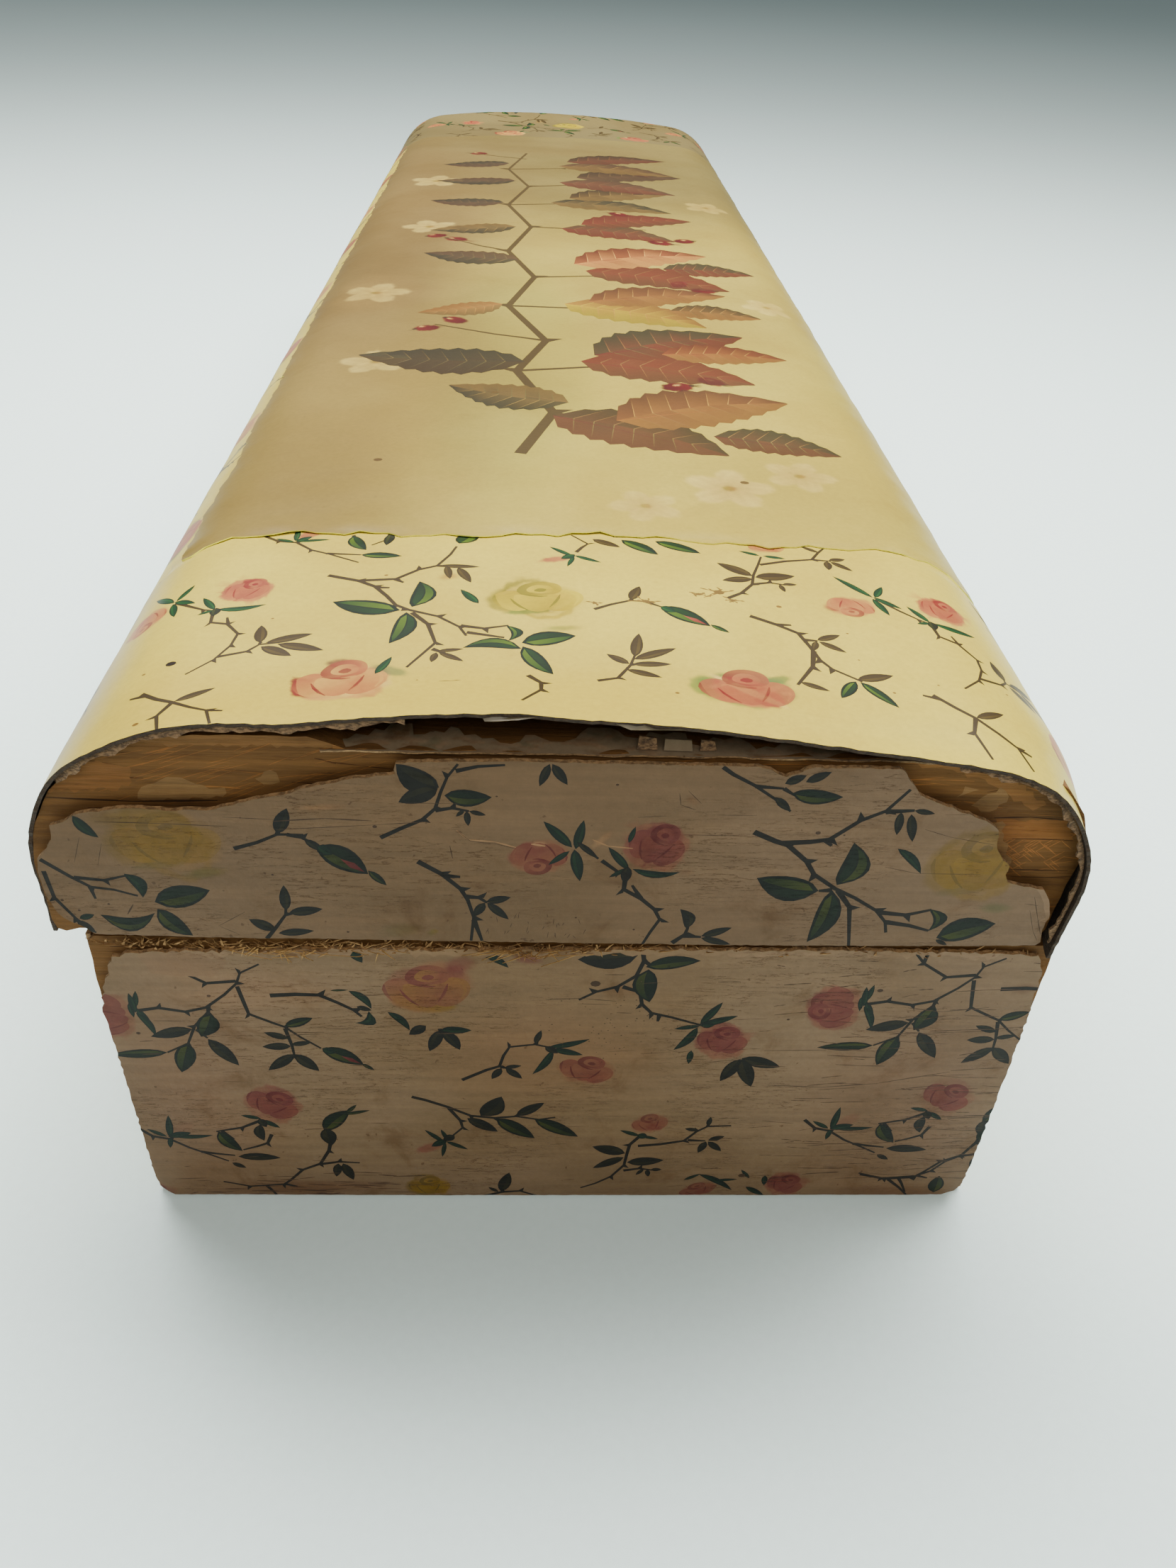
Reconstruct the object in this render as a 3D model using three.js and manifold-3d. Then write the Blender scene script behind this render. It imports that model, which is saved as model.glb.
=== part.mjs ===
// Wooden glove box with a loose, round-shouldered lid, covered with printed paper under celluloid.
// Millimetres, +Z up, +Y along the box, the worn end faces -Y. The origin is under the middle.
import * as THREE from 'three';
import { mergeVertices } from 'three/addons/utils/BufferGeometryUtils.js';
import Module from 'manifold-3d';

// Base: outside sizes over its covering, boards and floor.
const baseWidth = 90;
const baseLength = 316;
const baseHeight = 39.5;
const baseShift = 0.7;
const baseWall = 5;
const floorThickness = 3;

// Lid: how far its covering stands out past the base, its boards and the shape of its cross-section.
const sideOverhang = 1.9;
const endOverhang = 0.5;
const lidHeight = 23.7;
const shoulderRadius = 15;
const crownRise = 1;
const lidWall = 5;
const endThickness = 5;
const endLift = 0.6;

// The front end board is lower and narrower than the lid, so the sheet over it stands clear.
const frontDrop = 0.8;
const frontNarrowing = 0.6;
const frontRadius = 13;
const frontRise = 0.8;

// Covering: sheet thickness, how far it stops short of an edge, and the seams on the lid.
const sheet = 0.8;
const sheetShort = 0.4;
const borderLength = 34.5;
const leftSeamAngle = 34;
const rightSeamAngle = 50;

// Clearance between glued pieces, and between the lid and the base it rests on.
const gap = 0.3;
const seat = 0.3;

// Wear on the covering of the front end.
const cornerChip = 2;
const frayDepth = 1.3;
const frayLength = 47;

const arcSteps = 8;
const crownSteps = 12;

const wasm = await Module();
wasm.setup();

const colours = {
  bareWood: 0x9a7650,
  innerWood: 0xa98a62,
  printedCream: 0xd9cfb0,
  agedCream: 0xc9bfa4,
  picture: 0xcdb67e,
};

const box = new THREE.Group();

function addPiece(name, geometry, colour, roughness) {
  const material = new THREE.MeshStandardMaterial({ color: colour, roughness, metalness: 0 });
  const mesh = new THREE.Mesh(geometry, material);
  mesh.name = name;
  box.add(mesh);
}

function shapeOf(points) {
  return new THREE.Shape(points.map(([x, z]) => new THREE.Vector2(x, z)));
}

// A section drawn in X and Z, swept along Y from one place to another.
function sweepAlongY(points, fromY, toY) {
  const settings = { depth: toY - fromY, bevelEnabled: false, steps: 1 };
  const geometry = new THREE.ExtrudeGeometry(shapeOf(points), settings);
  geometry.rotateX(Math.PI / 2);
  geometry.translate(0, toY, 0);
  return geometry;
}

function block(low, high) {
  const size = high.map((value, axis) => value - low[axis]);
  const geometry = new THREE.BoxGeometry(...size);
  geometry.translate(...low.map((value, axis) => value + size[axis] / 2));
  return geometry;
}

function toSolid(geometry) {
  const bare = geometry.clone();
  bare.deleteAttribute('normal');
  bare.deleteAttribute('uv');
  const merged = mergeVertices(bare, 1e-4);
  return new wasm.Manifold(new wasm.Mesh({
    numProp: 3,
    vertProperties: new Float32Array(merged.attributes.position.array),
    triVerts: new Uint32Array(merged.index.array),
  }));
}

function toGeometry(solid) {
  const mesh = solid.getMesh();
  const geometry = new THREE.BufferGeometry();
  geometry.setAttribute('position', new THREE.BufferAttribute(mesh.vertProperties, 3));
  geometry.setIndex(new THREE.BufferAttribute(mesh.triVerts, 1));
  geometry.computeVertexNormals();
  return geometry;
}

function cutAway(geometry, cutters) {
  let solid = toSolid(geometry);
  for (const cutter of cutters) {
    solid = solid.subtract(toSolid(cutter));
  }
  return toGeometry(solid);
}

// An arch is the lid's cross-section: straight sides, round shoulders and a low crown tangent to them.
// t runs from -3 at the left foot, over the crown at 0, to 3 at the right foot.
function insetArch(arch, inset) {
  return {
    half: arch.half - inset,
    foot: arch.foot,
    top: arch.top - inset,
    radius: arch.radius - inset,
    rise: arch.rise,
  };
}

function crownOf(arch) {
  const shoulderX = arch.half - arch.radius;
  const springZ = arch.top - arch.rise - arch.radius;
  const heights = arch.rise + 2 * arch.radius;
  const radius = (shoulderX ** 2 + arch.rise * heights) / (2 * arch.rise);
  const angle = Math.asin(shoulderX / (radius - arch.radius));
  return { shoulderX, springZ, radius, angle };
}

function archPoint(arch, t) {
  const side = t < 0 ? -1 : 1;
  const along = Math.abs(t);
  const crown = crownOf(arch);
  if (along <= 1) {
    const angle = crown.angle * along;
    const z = arch.top - crown.radius * (1 - Math.cos(angle));
    return [side * crown.radius * Math.sin(angle), z];
  }
  if (along <= 2) {
    const angle = crown.angle + (along - 1) * (Math.PI / 2 - crown.angle);
    const x = crown.shoulderX + arch.radius * Math.sin(angle);
    return [side * x, crown.springZ + arch.radius * Math.cos(angle)];
  }
  return [side * arch.half, crown.springZ + (arch.foot - crown.springZ) * (along - 2)];
}

// The t of the place on a shoulder that faces so many degrees away from straight up.
function shoulderAt(arch, degrees) {
  const { angle } = crownOf(arch);
  return 1 + (degrees * Math.PI / 180 - angle) / (Math.PI / 2 - angle);
}

function archSteps(from, to) {
  const steps = [-2, 2];
  for (let i = 0; i <= crownSteps; i += 1) {
    steps.push(-1 + 2 * i / crownSteps);
  }
  for (let i = 1; i < arcSteps; i += 1) {
    steps.push(1 + i / arcSteps, -1 - i / arcSteps);
  }
  const between = steps.filter((t) => t > from + 1e-6 && t < to - 1e-6);
  return [from, ...between.sort((a, b) => a - b), to];
}

function archLine(arch, from, to) {
  return archSteps(from, to).map((t) => archPoint(arch, t));
}

// A closed band between two arches, from one t to another.
function archBand(outer, inner, from, to) {
  return [...archLine(outer, from, to), ...archLine(inner, from, to).reverse()];
}

function mirrorX(points) {
  return points.map(([x, z]) => [-x, z]).reverse();
}

// Places shared by the pieces.
const layer = sheet + gap;
const baseEnd = baseLength / 2;
const baseSide = baseWidth / 2;
const lidEnd = baseEnd + endOverhang;
const lidFoot = baseHeight + seat;
const lidArch = {
  half: baseSide + sideOverhang,
  foot: lidFoot,
  top: lidFoot + lidHeight,
  radius: shoulderRadius,
  rise: crownRise,
};
const frameArch = insetArch(lidArch, layer);
const innerArch = insetArch(frameArch, lidWall);

function addBaseBoards() {
  const endFace = baseEnd - layer;
  const endInside = endFace - baseWall;
  const sideFace = baseSide - layer;
  const sideInside = sideFace - baseWall;
  const wallFoot = floorThickness + gap;
  for (const [name, sign] of [['front', -1], ['back', 1]]) {
    const nearY = Math.min(sign * endFace, sign * endInside);
    const board = block(
      [baseShift - sideFace, nearY, wallFoot],
      [baseShift + sideFace, nearY + baseWall, baseHeight],
    );
    addPiece(`base_${name}_board`, board, colours.bareWood, 0.85);
  }
  for (const [name, sign] of [['left', -1], ['right', 1]]) {
    const lowX = baseShift + Math.min(sign * sideFace, sign * sideInside);
    const board = block(
      [lowX, gap - endInside, wallFoot],
      [lowX + baseWall, endInside - gap, baseHeight],
    );
    addPiece(`base_${name}_board`, board, colours.innerWood, 0.85);
  }
  const floor = block(
    [baseShift - sideFace, -endFace, 0],
    [baseShift + sideFace, endFace, floorThickness],
  );
  addPiece('base_floor_board', floor, colours.innerWood, 0.85);
}

// The front sheet of the base has lost its bottom corners, a corner above and a strip of its top edge.
function addBaseCovers() {
  const low = sheetShort;
  const high = baseHeight - sheetShort;
  const left = baseShift - baseSide;
  const right = baseShift + baseSide;
  const tornX = left + cornerChip * 1.5;
  const frontOutline = [
    [left + cornerChip, low],
    [right - cornerChip, low],
    [right, low + cornerChip],
    [right, high],
    [left + frayLength, high],
    [left + frayLength - frayDepth, high - frayDepth],
    [tornX, high - frayDepth],
    [tornX - cornerChip * 0.5, high - frayDepth - cornerChip * 1.5],
    [left, high - frayDepth - cornerChip * 3],
    [left, low + cornerChip],
  ];
  const front = sweepAlongY(frontOutline, -baseEnd, sheet - baseEnd);
  addPiece('base_front_cover', front, colours.agedCream, 0.45);
  const back = block([left, baseEnd - sheet, low], [right, baseEnd, high]);
  addPiece('base_back_cover', back, colours.agedCream, 0.45);
  const length = baseEnd - layer;
  const leftSide = block([left, -length, low], [left + sheet, length, high]);
  addPiece('base_left_cover', leftSide, colours.printedCream, 0.4);
  const rightSide = block([right - sheet, -length, low], [right, length, high]);
  addPiece('base_right_cover', rightSide, colours.printedCream, 0.4);
}

const frontArch = {
  half: frameArch.half - frontNarrowing,
  foot: lidFoot + endLift,
  top: frameArch.top - frontDrop,
  radius: frontRadius,
  rise: frontRise,
};
const backArch = { ...frameArch, foot: lidFoot + endLift };
const endFace = lidEnd - layer;
const endInside = endFace - endThickness;

// Two end boards, two moulded rails that turn into the shoulders, and a board between them.
function addLidBoards() {
  const front = sweepAlongY(archLine(frontArch, -3, 3), -endFace, -endInside);
  addPiece('lid_front_board', front, colours.bareWood, 0.85);
  const back = sweepAlongY(archLine(backArch, -3, 3), endInside, endFace);
  addPiece('lid_back_board', back, colours.bareWood, 0.85);
  const railEnd = endInside - gap;
  const leftRail = archBand(frameArch, innerArch, -3, -1);
  addPiece('lid_left_rail', sweepAlongY(leftRail, -railEnd, railEnd), colours.innerWood, 0.85);
  const rightRail = mirrorX(leftRail);
  addPiece('lid_right_rail', sweepAlongY(rightRail, -railEnd, railEnd), colours.innerWood, 0.85);
  const crown = crownOf(innerArch);
  const edge = 1 - gap / (crown.radius * crown.angle);
  const underside = [archPoint(innerArch, edge), archPoint(innerArch, -edge)];
  const top = [...archLine(frameArch, -edge, edge), ...underside];
  addPiece('lid_top_board', sweepAlongY(top, -railEnd, railEnd), colours.innerWood, 0.85);
}

// Patches torn off the front end sheet. Each is drawn from the corner of the sheet it belongs to.
function tornPatches(arch) {
  const { springZ } = crownOf(arch);
  const fromLeft = (points) => points.map(([x, z]) => [x - arch.half, springZ + z]);
  const fromRight = (points) => points.map(([x, z]) => [arch.half - x, springZ + z]);
  const beyond = arch.radius + 5;
  const leftTear = fromLeft([
    [-3, 1.5], [1.5, 2.5], [2, 4.6], [4, 6.2], [10, 6.8], [15.5, 7], [21, 8.4],
    [24.5, 10], [30.5, 10.8], [31.5, beyond], [-3, beyond],
  ]);
  const rightTear = fromRight([
    [-3, -9], [1.5, -6], [4, -1], [7, 0.4], [8.8, 3], [9.2, 5.2], [12.5, 7.8],
    [17, 9.9], [18.5, beyond], [-3, beyond],
  ]);
  const chip = [
    [-arch.half - 1, arch.foot - 1],
    [-arch.half + cornerChip * 1.6, arch.foot - 1],
    [-arch.half - 1, arch.foot + cornerChip * 1.8],
  ];
  return [leftTear, rightTear, chip];
}

function addLidEndCovers() {
  const frontSheet = insetArch(frontArch, sheetShort);
  const whole = sweepAlongY(archLine(frontSheet, -3, 3), -lidEnd, sheet - lidEnd);
  const cutters = tornPatches(frontSheet).map(
    (points) => sweepAlongY(points, -lidEnd - 1, sheet - lidEnd + 1),
  );
  addPiece('lid_front_cover', cutAway(whole, cutters), colours.agedCream, 0.45);
  const backSheet = insetArch(backArch, sheetShort);
  const back = sweepAlongY(archLine(backSheet, -3, 3), lidEnd - sheet, lidEnd);
  addPiece('lid_back_cover', back, colours.agedCream, 0.45);
}

// Sheets bent over the lid: a border at each end, a strip down each side and the picture between.
function addLidTopCovers() {
  const inside = insetArch(lidArch, sheet);
  const bent = (from, to, fromY, toY) => sweepAlongY(archBand(lidArch, inside, from, to), fromY, toY);
  const seamY = lidEnd - borderLength;
  const betweenY = seamY - gap;
  const leftSeam = -shoulderAt(lidArch, leftSeamAngle);
  const rightSeam = shoulderAt(lidArch, rightSeamAngle);
  const seamStep = gap / (inside.radius * (Math.PI / 2 - crownOf(lidArch).angle));
  const pieces = [
    ['lid_front_border', -3, 3, -lidEnd, -seamY, colours.printedCream],
    ['lid_back_border', -3, 3, seamY, lidEnd, colours.printedCream],
    ['lid_left_strip', -3, leftSeam - seamStep, -betweenY, betweenY, colours.printedCream],
    ['lid_picture_panel', leftSeam, rightSeam, -betweenY, betweenY, colours.picture],
    ['lid_right_strip', rightSeam + seamStep, 3, -betweenY, betweenY, colours.printedCream],
  ];
  for (const [name, from, to, fromY, toY, colour] of pieces) {
    addPiece(name, bent(from, to, fromY, toY), colour, 0.3);
  }
}

addBaseBoards();
addBaseCovers();
addLidBoards();
addLidEndCovers();
addLidTopCovers();

export default box;
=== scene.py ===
import math

import bmesh
import bpy
import numpy as np
from bpy.props import FloatProperty, FloatVectorProperty, PointerProperty
from mathutils import Matrix, Vector
from mathutils.geometry import delaunay_2d_cdt


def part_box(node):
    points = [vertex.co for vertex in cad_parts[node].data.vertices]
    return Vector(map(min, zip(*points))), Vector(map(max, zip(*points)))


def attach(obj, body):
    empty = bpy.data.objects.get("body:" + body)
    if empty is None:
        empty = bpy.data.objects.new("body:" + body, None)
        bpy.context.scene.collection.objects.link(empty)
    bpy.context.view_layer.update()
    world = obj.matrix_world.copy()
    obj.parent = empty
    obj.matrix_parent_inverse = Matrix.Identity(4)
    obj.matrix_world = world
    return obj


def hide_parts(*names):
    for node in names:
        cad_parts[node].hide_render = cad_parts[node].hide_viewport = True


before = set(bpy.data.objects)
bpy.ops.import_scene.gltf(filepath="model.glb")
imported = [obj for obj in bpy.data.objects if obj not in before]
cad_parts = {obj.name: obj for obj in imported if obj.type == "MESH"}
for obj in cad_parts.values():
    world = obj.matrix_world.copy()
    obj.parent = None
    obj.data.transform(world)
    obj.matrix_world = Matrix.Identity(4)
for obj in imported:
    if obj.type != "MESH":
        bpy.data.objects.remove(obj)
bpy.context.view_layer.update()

bl_info = {
    "name": "Wooden glove box",
    "version": (1, 0, 0),
    "blender": (4, 5, 0),
    "location": "3D View > Sidebar > Glove box",
    "description": "Builds the printed sheets, worn boards and stage of a wooden glove box",
    "category": "Add Mesh",
}

# Lengths are in millimetres and become metres when a mesh is made.
MM = 0.001
BODY = "root"
# Washes at least this wide are left to the plain mesh: they are too soft to need points of their own.
BROAD_WASH = 9


def corners(node):
    """Lowest and highest corner of a node, in millimetres."""
    low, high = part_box(node)
    return np.array(low) / MM, np.array(high) / MM


base_low, base_high = corners("base_front_cover")
lid_low, lid_high = corners("lid_front_border")
far_low, far_high = corners("lid_back_border")
end_low, end_high = corners("lid_front_board")
frame_low, frame_high = corners("lid_top_board")
back_low, back_high = corners("base_back_cover")
left_low, left_high = corners("base_left_cover")
right_low, right_high = corners("base_right_cover")
SHOULDER_RADIUS = 15.0
CROWN_RISE = 1.0


def colour_prop(name, description, default):
    return FloatVectorProperty(
        name=name, description=description, default=default, size=3, min=0, max=1, subtype="COLOR"
    )


class GloveBoxSizes(bpy.types.PropertyGroup):
    """Sizes of the sheets and their wear, in millimetres."""
    sheet: FloatProperty(name="Sheet", description="Thickness of a covering sheet", default=0.45)
    edge_lift: FloatProperty(
        name="Loose edge", description="How far the covering's loose ends stand up", default=1.7
    )
    ripple: FloatProperty(
        name="Ripple", description="Height of the slow waves in a sheet", default=0.05
    )
    mesh_step: FloatProperty(
        name="Mesh step", description="Distance between mesh points where nothing is printed", default=1.6
    )
    rose_step: FloatProperty(
        name="Rose step", description="Distance between mesh points inside a soft motif", default=0.24
    )


class GloveBoxColours(bpy.types.PropertyGroup):
    """Colours of the papers and woods."""
    lid_paper: colour_prop("Lid paper", "Paper under the glossy sheets on the lid", (0.47, 0.37, 0.045))
    end_paper: colour_prop("End paper", "Dulled paper on the ends", (0.165, 0.103, 0.055))
    side_paper: colour_prop("Side paper", "Paper on the long sides of the base", (0.44, 0.33, 0.09))
    torn_edge: colour_prop("Torn edge", "Fibres of a torn sheet", (0.36, 0.21, 0.09))
    end_wood: colour_prop("End wood", "Bare wood of the ends", (0.135, 0.062, 0.017))
    inner_wood: colour_prop("Inner wood", "Wood inside and below", (0.36, 0.23, 0.12))
    floor: colour_prop("Floor", "Floor of the stage", (0.74, 0.88, 0.84))


def smooth(low, high, value):
    """0 below low, 1 above high and a soft curve between."""
    t = np.clip((value - low) / (high - low), 0.0, 1.0)
    return t * t * (3.0 - 2.0 * t)


def waves(u, v, length, seed, count=7):
    """Slow, irregular waves between about -1 and 1, with the given wavelength."""
    draw = np.random.default_rng(seed)
    total = np.zeros_like(u)
    for _ in range(count):
        heading = draw.uniform(0, 2 * math.pi)
        size = 2 * math.pi / (length * draw.uniform(0.6, 1.6))
        phase = draw.uniform(0, 2 * math.pi)
        total += np.sin(size * (u * math.cos(heading) + v * math.sin(heading)) + phase)
    return total / math.sqrt(count * 1.5)


class Plane:
    """A flat face: a corner and the directions in which u and v run."""

    def __init__(self, corner, along, up):
        self.corner, self.along, self.up = (np.array(x, float) for x in (corner, along, up))

    def frame(self, u, v):
        normal = np.cross(self.along, self.up)
        point = self.corner + u[:, None] * self.along + v[:, None] * self.up
        return point, *(np.tile(x, (len(u), 1)) for x in (self.along, self.up, normal))


class Bend:
    """The lid's curved outside: u runs round it from the middle of the crown, v along the box."""

    def __init__(self, low, high, inset=0.0, start=0.0):
        self.half = (high[0] - low[0]) / 2 - inset
        self.top = high[2] - inset
        self.foot = low[2]
        self.radius = SHOULDER_RADIUS - inset
        self.start = start
        self.shoulder = self.half - self.radius
        self.spring = self.top - CROWN_RISE - self.radius
        heights = CROWN_RISE + 2 * self.radius
        self.crown = (self.shoulder**2 + CROWN_RISE * heights) / (2 * CROWN_RISE)
        self.angle = math.asin(self.shoulder / (self.crown - self.radius))
        self.flat_end = self.crown * self.angle
        self.curve_end = self.flat_end + self.radius * (math.pi / 2 - self.angle)
        self.end = self.curve_end + self.spring - self.foot

    def frame(self, u, v):
        side, along = np.sign(u), np.abs(u)
        turn = self.angle + (along - self.flat_end) / self.radius
        turn = np.where(along < self.flat_end, along / self.crown, np.minimum(turn, math.pi / 2))
        x = np.where(
            along < self.flat_end, self.crown * np.sin(turn), self.shoulder + self.radius * np.sin(turn)
        )
        z = np.where(
            along < self.flat_end,
            self.top - self.crown * (1 - np.cos(turn)),
            self.spring + self.radius * np.cos(turn) - np.maximum(along - self.curve_end, 0),
        )
        nothing = np.zeros_like(u)
        point = np.stack([side * x, v + self.start, z], 1)
        across = np.stack([np.cos(turn), nothing, -side * np.sin(turn)], 1)
        ahead = np.stack([nothing, nothing + 1, nothing], 1)
        normal = np.stack([side * np.sin(turn), nothing, np.cos(turn)], 1)
        return point, across, ahead, normal


def ragged(points, seed, step=0.6):
    """An outline with its edges broken up. Each point is (u, v, raggedness of the edge that starts there)."""
    draw = np.random.default_rng(seed)
    result = []
    for here, after in zip(points, points[1:] + points[:1]):
        start, stop = np.array(here[:2], float), np.array(after[:2], float)
        length = np.linalg.norm(stop - start)
        parts = max(1, int(length / step))
        normal = np.array([stop[1] - start[1], start[0] - stop[0]]) / max(length, 1e-6)
        for i in range(parts):
            share = i / parts
            spot = start + (stop - start) * share
            if 0 < i:
                spot = spot + normal * draw.uniform(-1, 1) * here[2]
            result.append(spot)
    return np.array(result)


def distance_to_outline(points, outline, closed=True):
    """Distance of each point from an outline's edges."""
    best = np.full(len(points), 1e9)
    ends = np.roll(outline, -1, 0) if closed else outline[1:]
    starts = outline if closed else outline[:-1]
    for start, stop in zip(starts, ends):
        edge = stop - start
        share = np.clip(((points - start) @ edge) / max(edge @ edge, 1e-12), 0, 1)
        gap = points - start - share[:, None] * edge
        best = np.minimum(best, np.hypot(gap[:, 0], gap[:, 1]))
    return best


def triangulate(points, faces):
    """Splits the plane along the edges of faces. Gives points, triangles and the faces each lies in."""
    where = [Vector(p) for p in points]
    spots, _, triangles, source, _, inside = delaunay_2d_cdt(where, [], faces, 0, 1e-5)
    return np.array([s[:] for s in spots]), np.array(triangles), inside, source


def dots(low, high, step, seed):
    """Slightly scattered points over a rectangle, a step apart."""
    draw = np.random.default_rng(seed)
    rows = np.arange(low[1], high[1] + step, step * 0.87)
    grid = []
    for i, row in enumerate(rows):
        across = np.arange(low[0], high[0] + step, step) + (i % 2) * step / 2
        grid.append(np.stack([across, np.full_like(across, row)], 1))
    grid = np.concatenate(grid)
    return grid + draw.uniform(-0.22, 0.22, grid.shape) * step


class Ink:
    """What is printed or worn on a sheet: crisp shapes over soft washes, as multipliers of the paper."""

    def __init__(self):
        self.shapes = []
        self.washes = []

    def shape(self, points, near, far=None, start=None, stop=None, strength=1.0):
        """A crisp polygon shaded from the colour near at start to far at stop."""
        points = np.array(points, float)
        edges = np.roll(points, -1, 0)
        if np.sum(points[:, 0] * edges[:, 1] - points[:, 1] * edges[:, 0]) < 0:
            points = points[::-1]
        near = np.array(near, float)
        far = near if far is None else np.array(far, float)
        start = points[0] if start is None else np.array(start, float)
        stop = points[-1] if stop is None else np.array(stop, float)
        self.shapes.append((points, near, far, start, stop, strength))

    def wash(self, centre, size, turn, inner, outer, soft=0.3, strength=1.0, hollow=0.0):
        """A soft ellipse shaded along its own first axis from inner to outer. A hollow one is a ring."""
        centre = np.array(centre, float)
        inner, outer = np.array(inner, float), np.array(outer, float)
        self.washes.append((centre, np.array(size, float), turn, inner, outer, soft, strength, hollow))

    def moved(self, offset=(0, 0), turn=0.0, scale=1.0, strength=1.0, warp=None):
        """A copy that is scaled, turned by so many degrees and then shifted."""
        angle = math.radians(turn)
        spin = np.array([[math.cos(angle), math.sin(angle)], [-math.sin(angle), math.cos(angle)]]) * scale

        def go(points):
            points = points if warp is None else warp(points)
            return points @ spin + np.array(offset, float)

        copy = Ink()
        for points, near, far, start, stop, weight in self.shapes:
            copy.shapes.append((go(points), near, far, go(start), go(stop), weight * strength))
        for centre, size, tilt, inner, outer, soft, weight, hollow in self.washes:
            place = go(centre)
            copy.washes.append(
                (place, size * scale, tilt + turn, inner, outer, soft, weight * strength, hollow)
            )
        return copy

    def add(self, other):
        self.shapes += other.shapes
        self.washes += other.washes
        return self

    def tinted(self, by, depth=(1.35, 1.35)):
        """A copy with the colours of the shapes and the washes deepened and then multiplied."""

        def deepened(colour, power):
            return np.where(colour < 1, np.maximum(colour, 0) ** power, colour) * np.array(by)

        copy = Ink()
        for points, near, far, start, stop, weight in self.shapes:
            copy.shapes.append((points, deepened(near, depth[0]), deepened(far, depth[0]), start, stop,
                weight))
        for centre, size, tilt, inner, outer, soft, weight, hollow in self.washes:
            copy.washes.append((centre, size, tilt, deepened(inner, depth[1]), deepened(outer, depth[1]),
                soft, weight, hollow))
        return copy

    def within(self, low, high):
        """Only what reaches into a rectangle."""
        kept = Ink()
        for item in self.shapes:
            if np.all(item[0].max(0) > low) and np.all(item[0].min(0) < high):
                kept.shapes.append(item)
        for item in self.washes:
            reach = max(item[1])
            if np.all(item[0] + reach > low) and np.all(item[0] - reach < high):
                kept.washes.append(item)
        return kept

    def soft_colour(self, spots):
        """Colour of the washes at each spot."""
        colour = np.ones((len(spots), 3))
        for centre, size, tilt, inner, outer, soft, weight, hollow in self.washes:
            offset = spots - centre
            near = np.hypot(offset[:, 0], offset[:, 1]) < max(size) * 1.1
            if not near.any():
                continue
            angle = math.radians(tilt)
            along = offset[near] @ np.array([math.cos(angle), math.sin(angle)])
            across = offset[near] @ np.array([-math.sin(angle), math.cos(angle)])
            reach = np.hypot(along / size[0], across / size[1])
            reach += 0.05 * waves(spots[near, 0], spots[near, 1], max(size) * 0.5, 11)
            alpha = weight * (1 - smooth(1 - soft, 1.0, reach))
            if hollow:
                alpha *= smooth(hollow - soft, hollow, reach)
            share = np.clip(0.5 + 0.5 * along / size[0], 0, 1)[:, None]
            grain = 1 + 0.05 * np.sin(across * 9 / size[1] + 3 * along / size[0])
            tone = (inner + (outer - inner) * share) * grain[:, None]
            colour[near] += (tone - colour[near]) * alpha[:, None]
        return colour


def ordered_rim(triangles):
    """The outer edge of a triangulated region as one run of points in order."""
    edges = {}
    for a, b, c in triangles:
        for pair in ((a, b), (b, c), (c, a)):
            if (pair[1], pair[0]) in edges:
                del edges[(pair[1], pair[0])]
            else:
                edges[pair] = True
    after = dict(edges.keys())
    first = next(iter(after))
    rim = [first]
    while after[rim[-1]] != first:
        rim.append(after[rim[-1]])
    return rim


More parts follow.
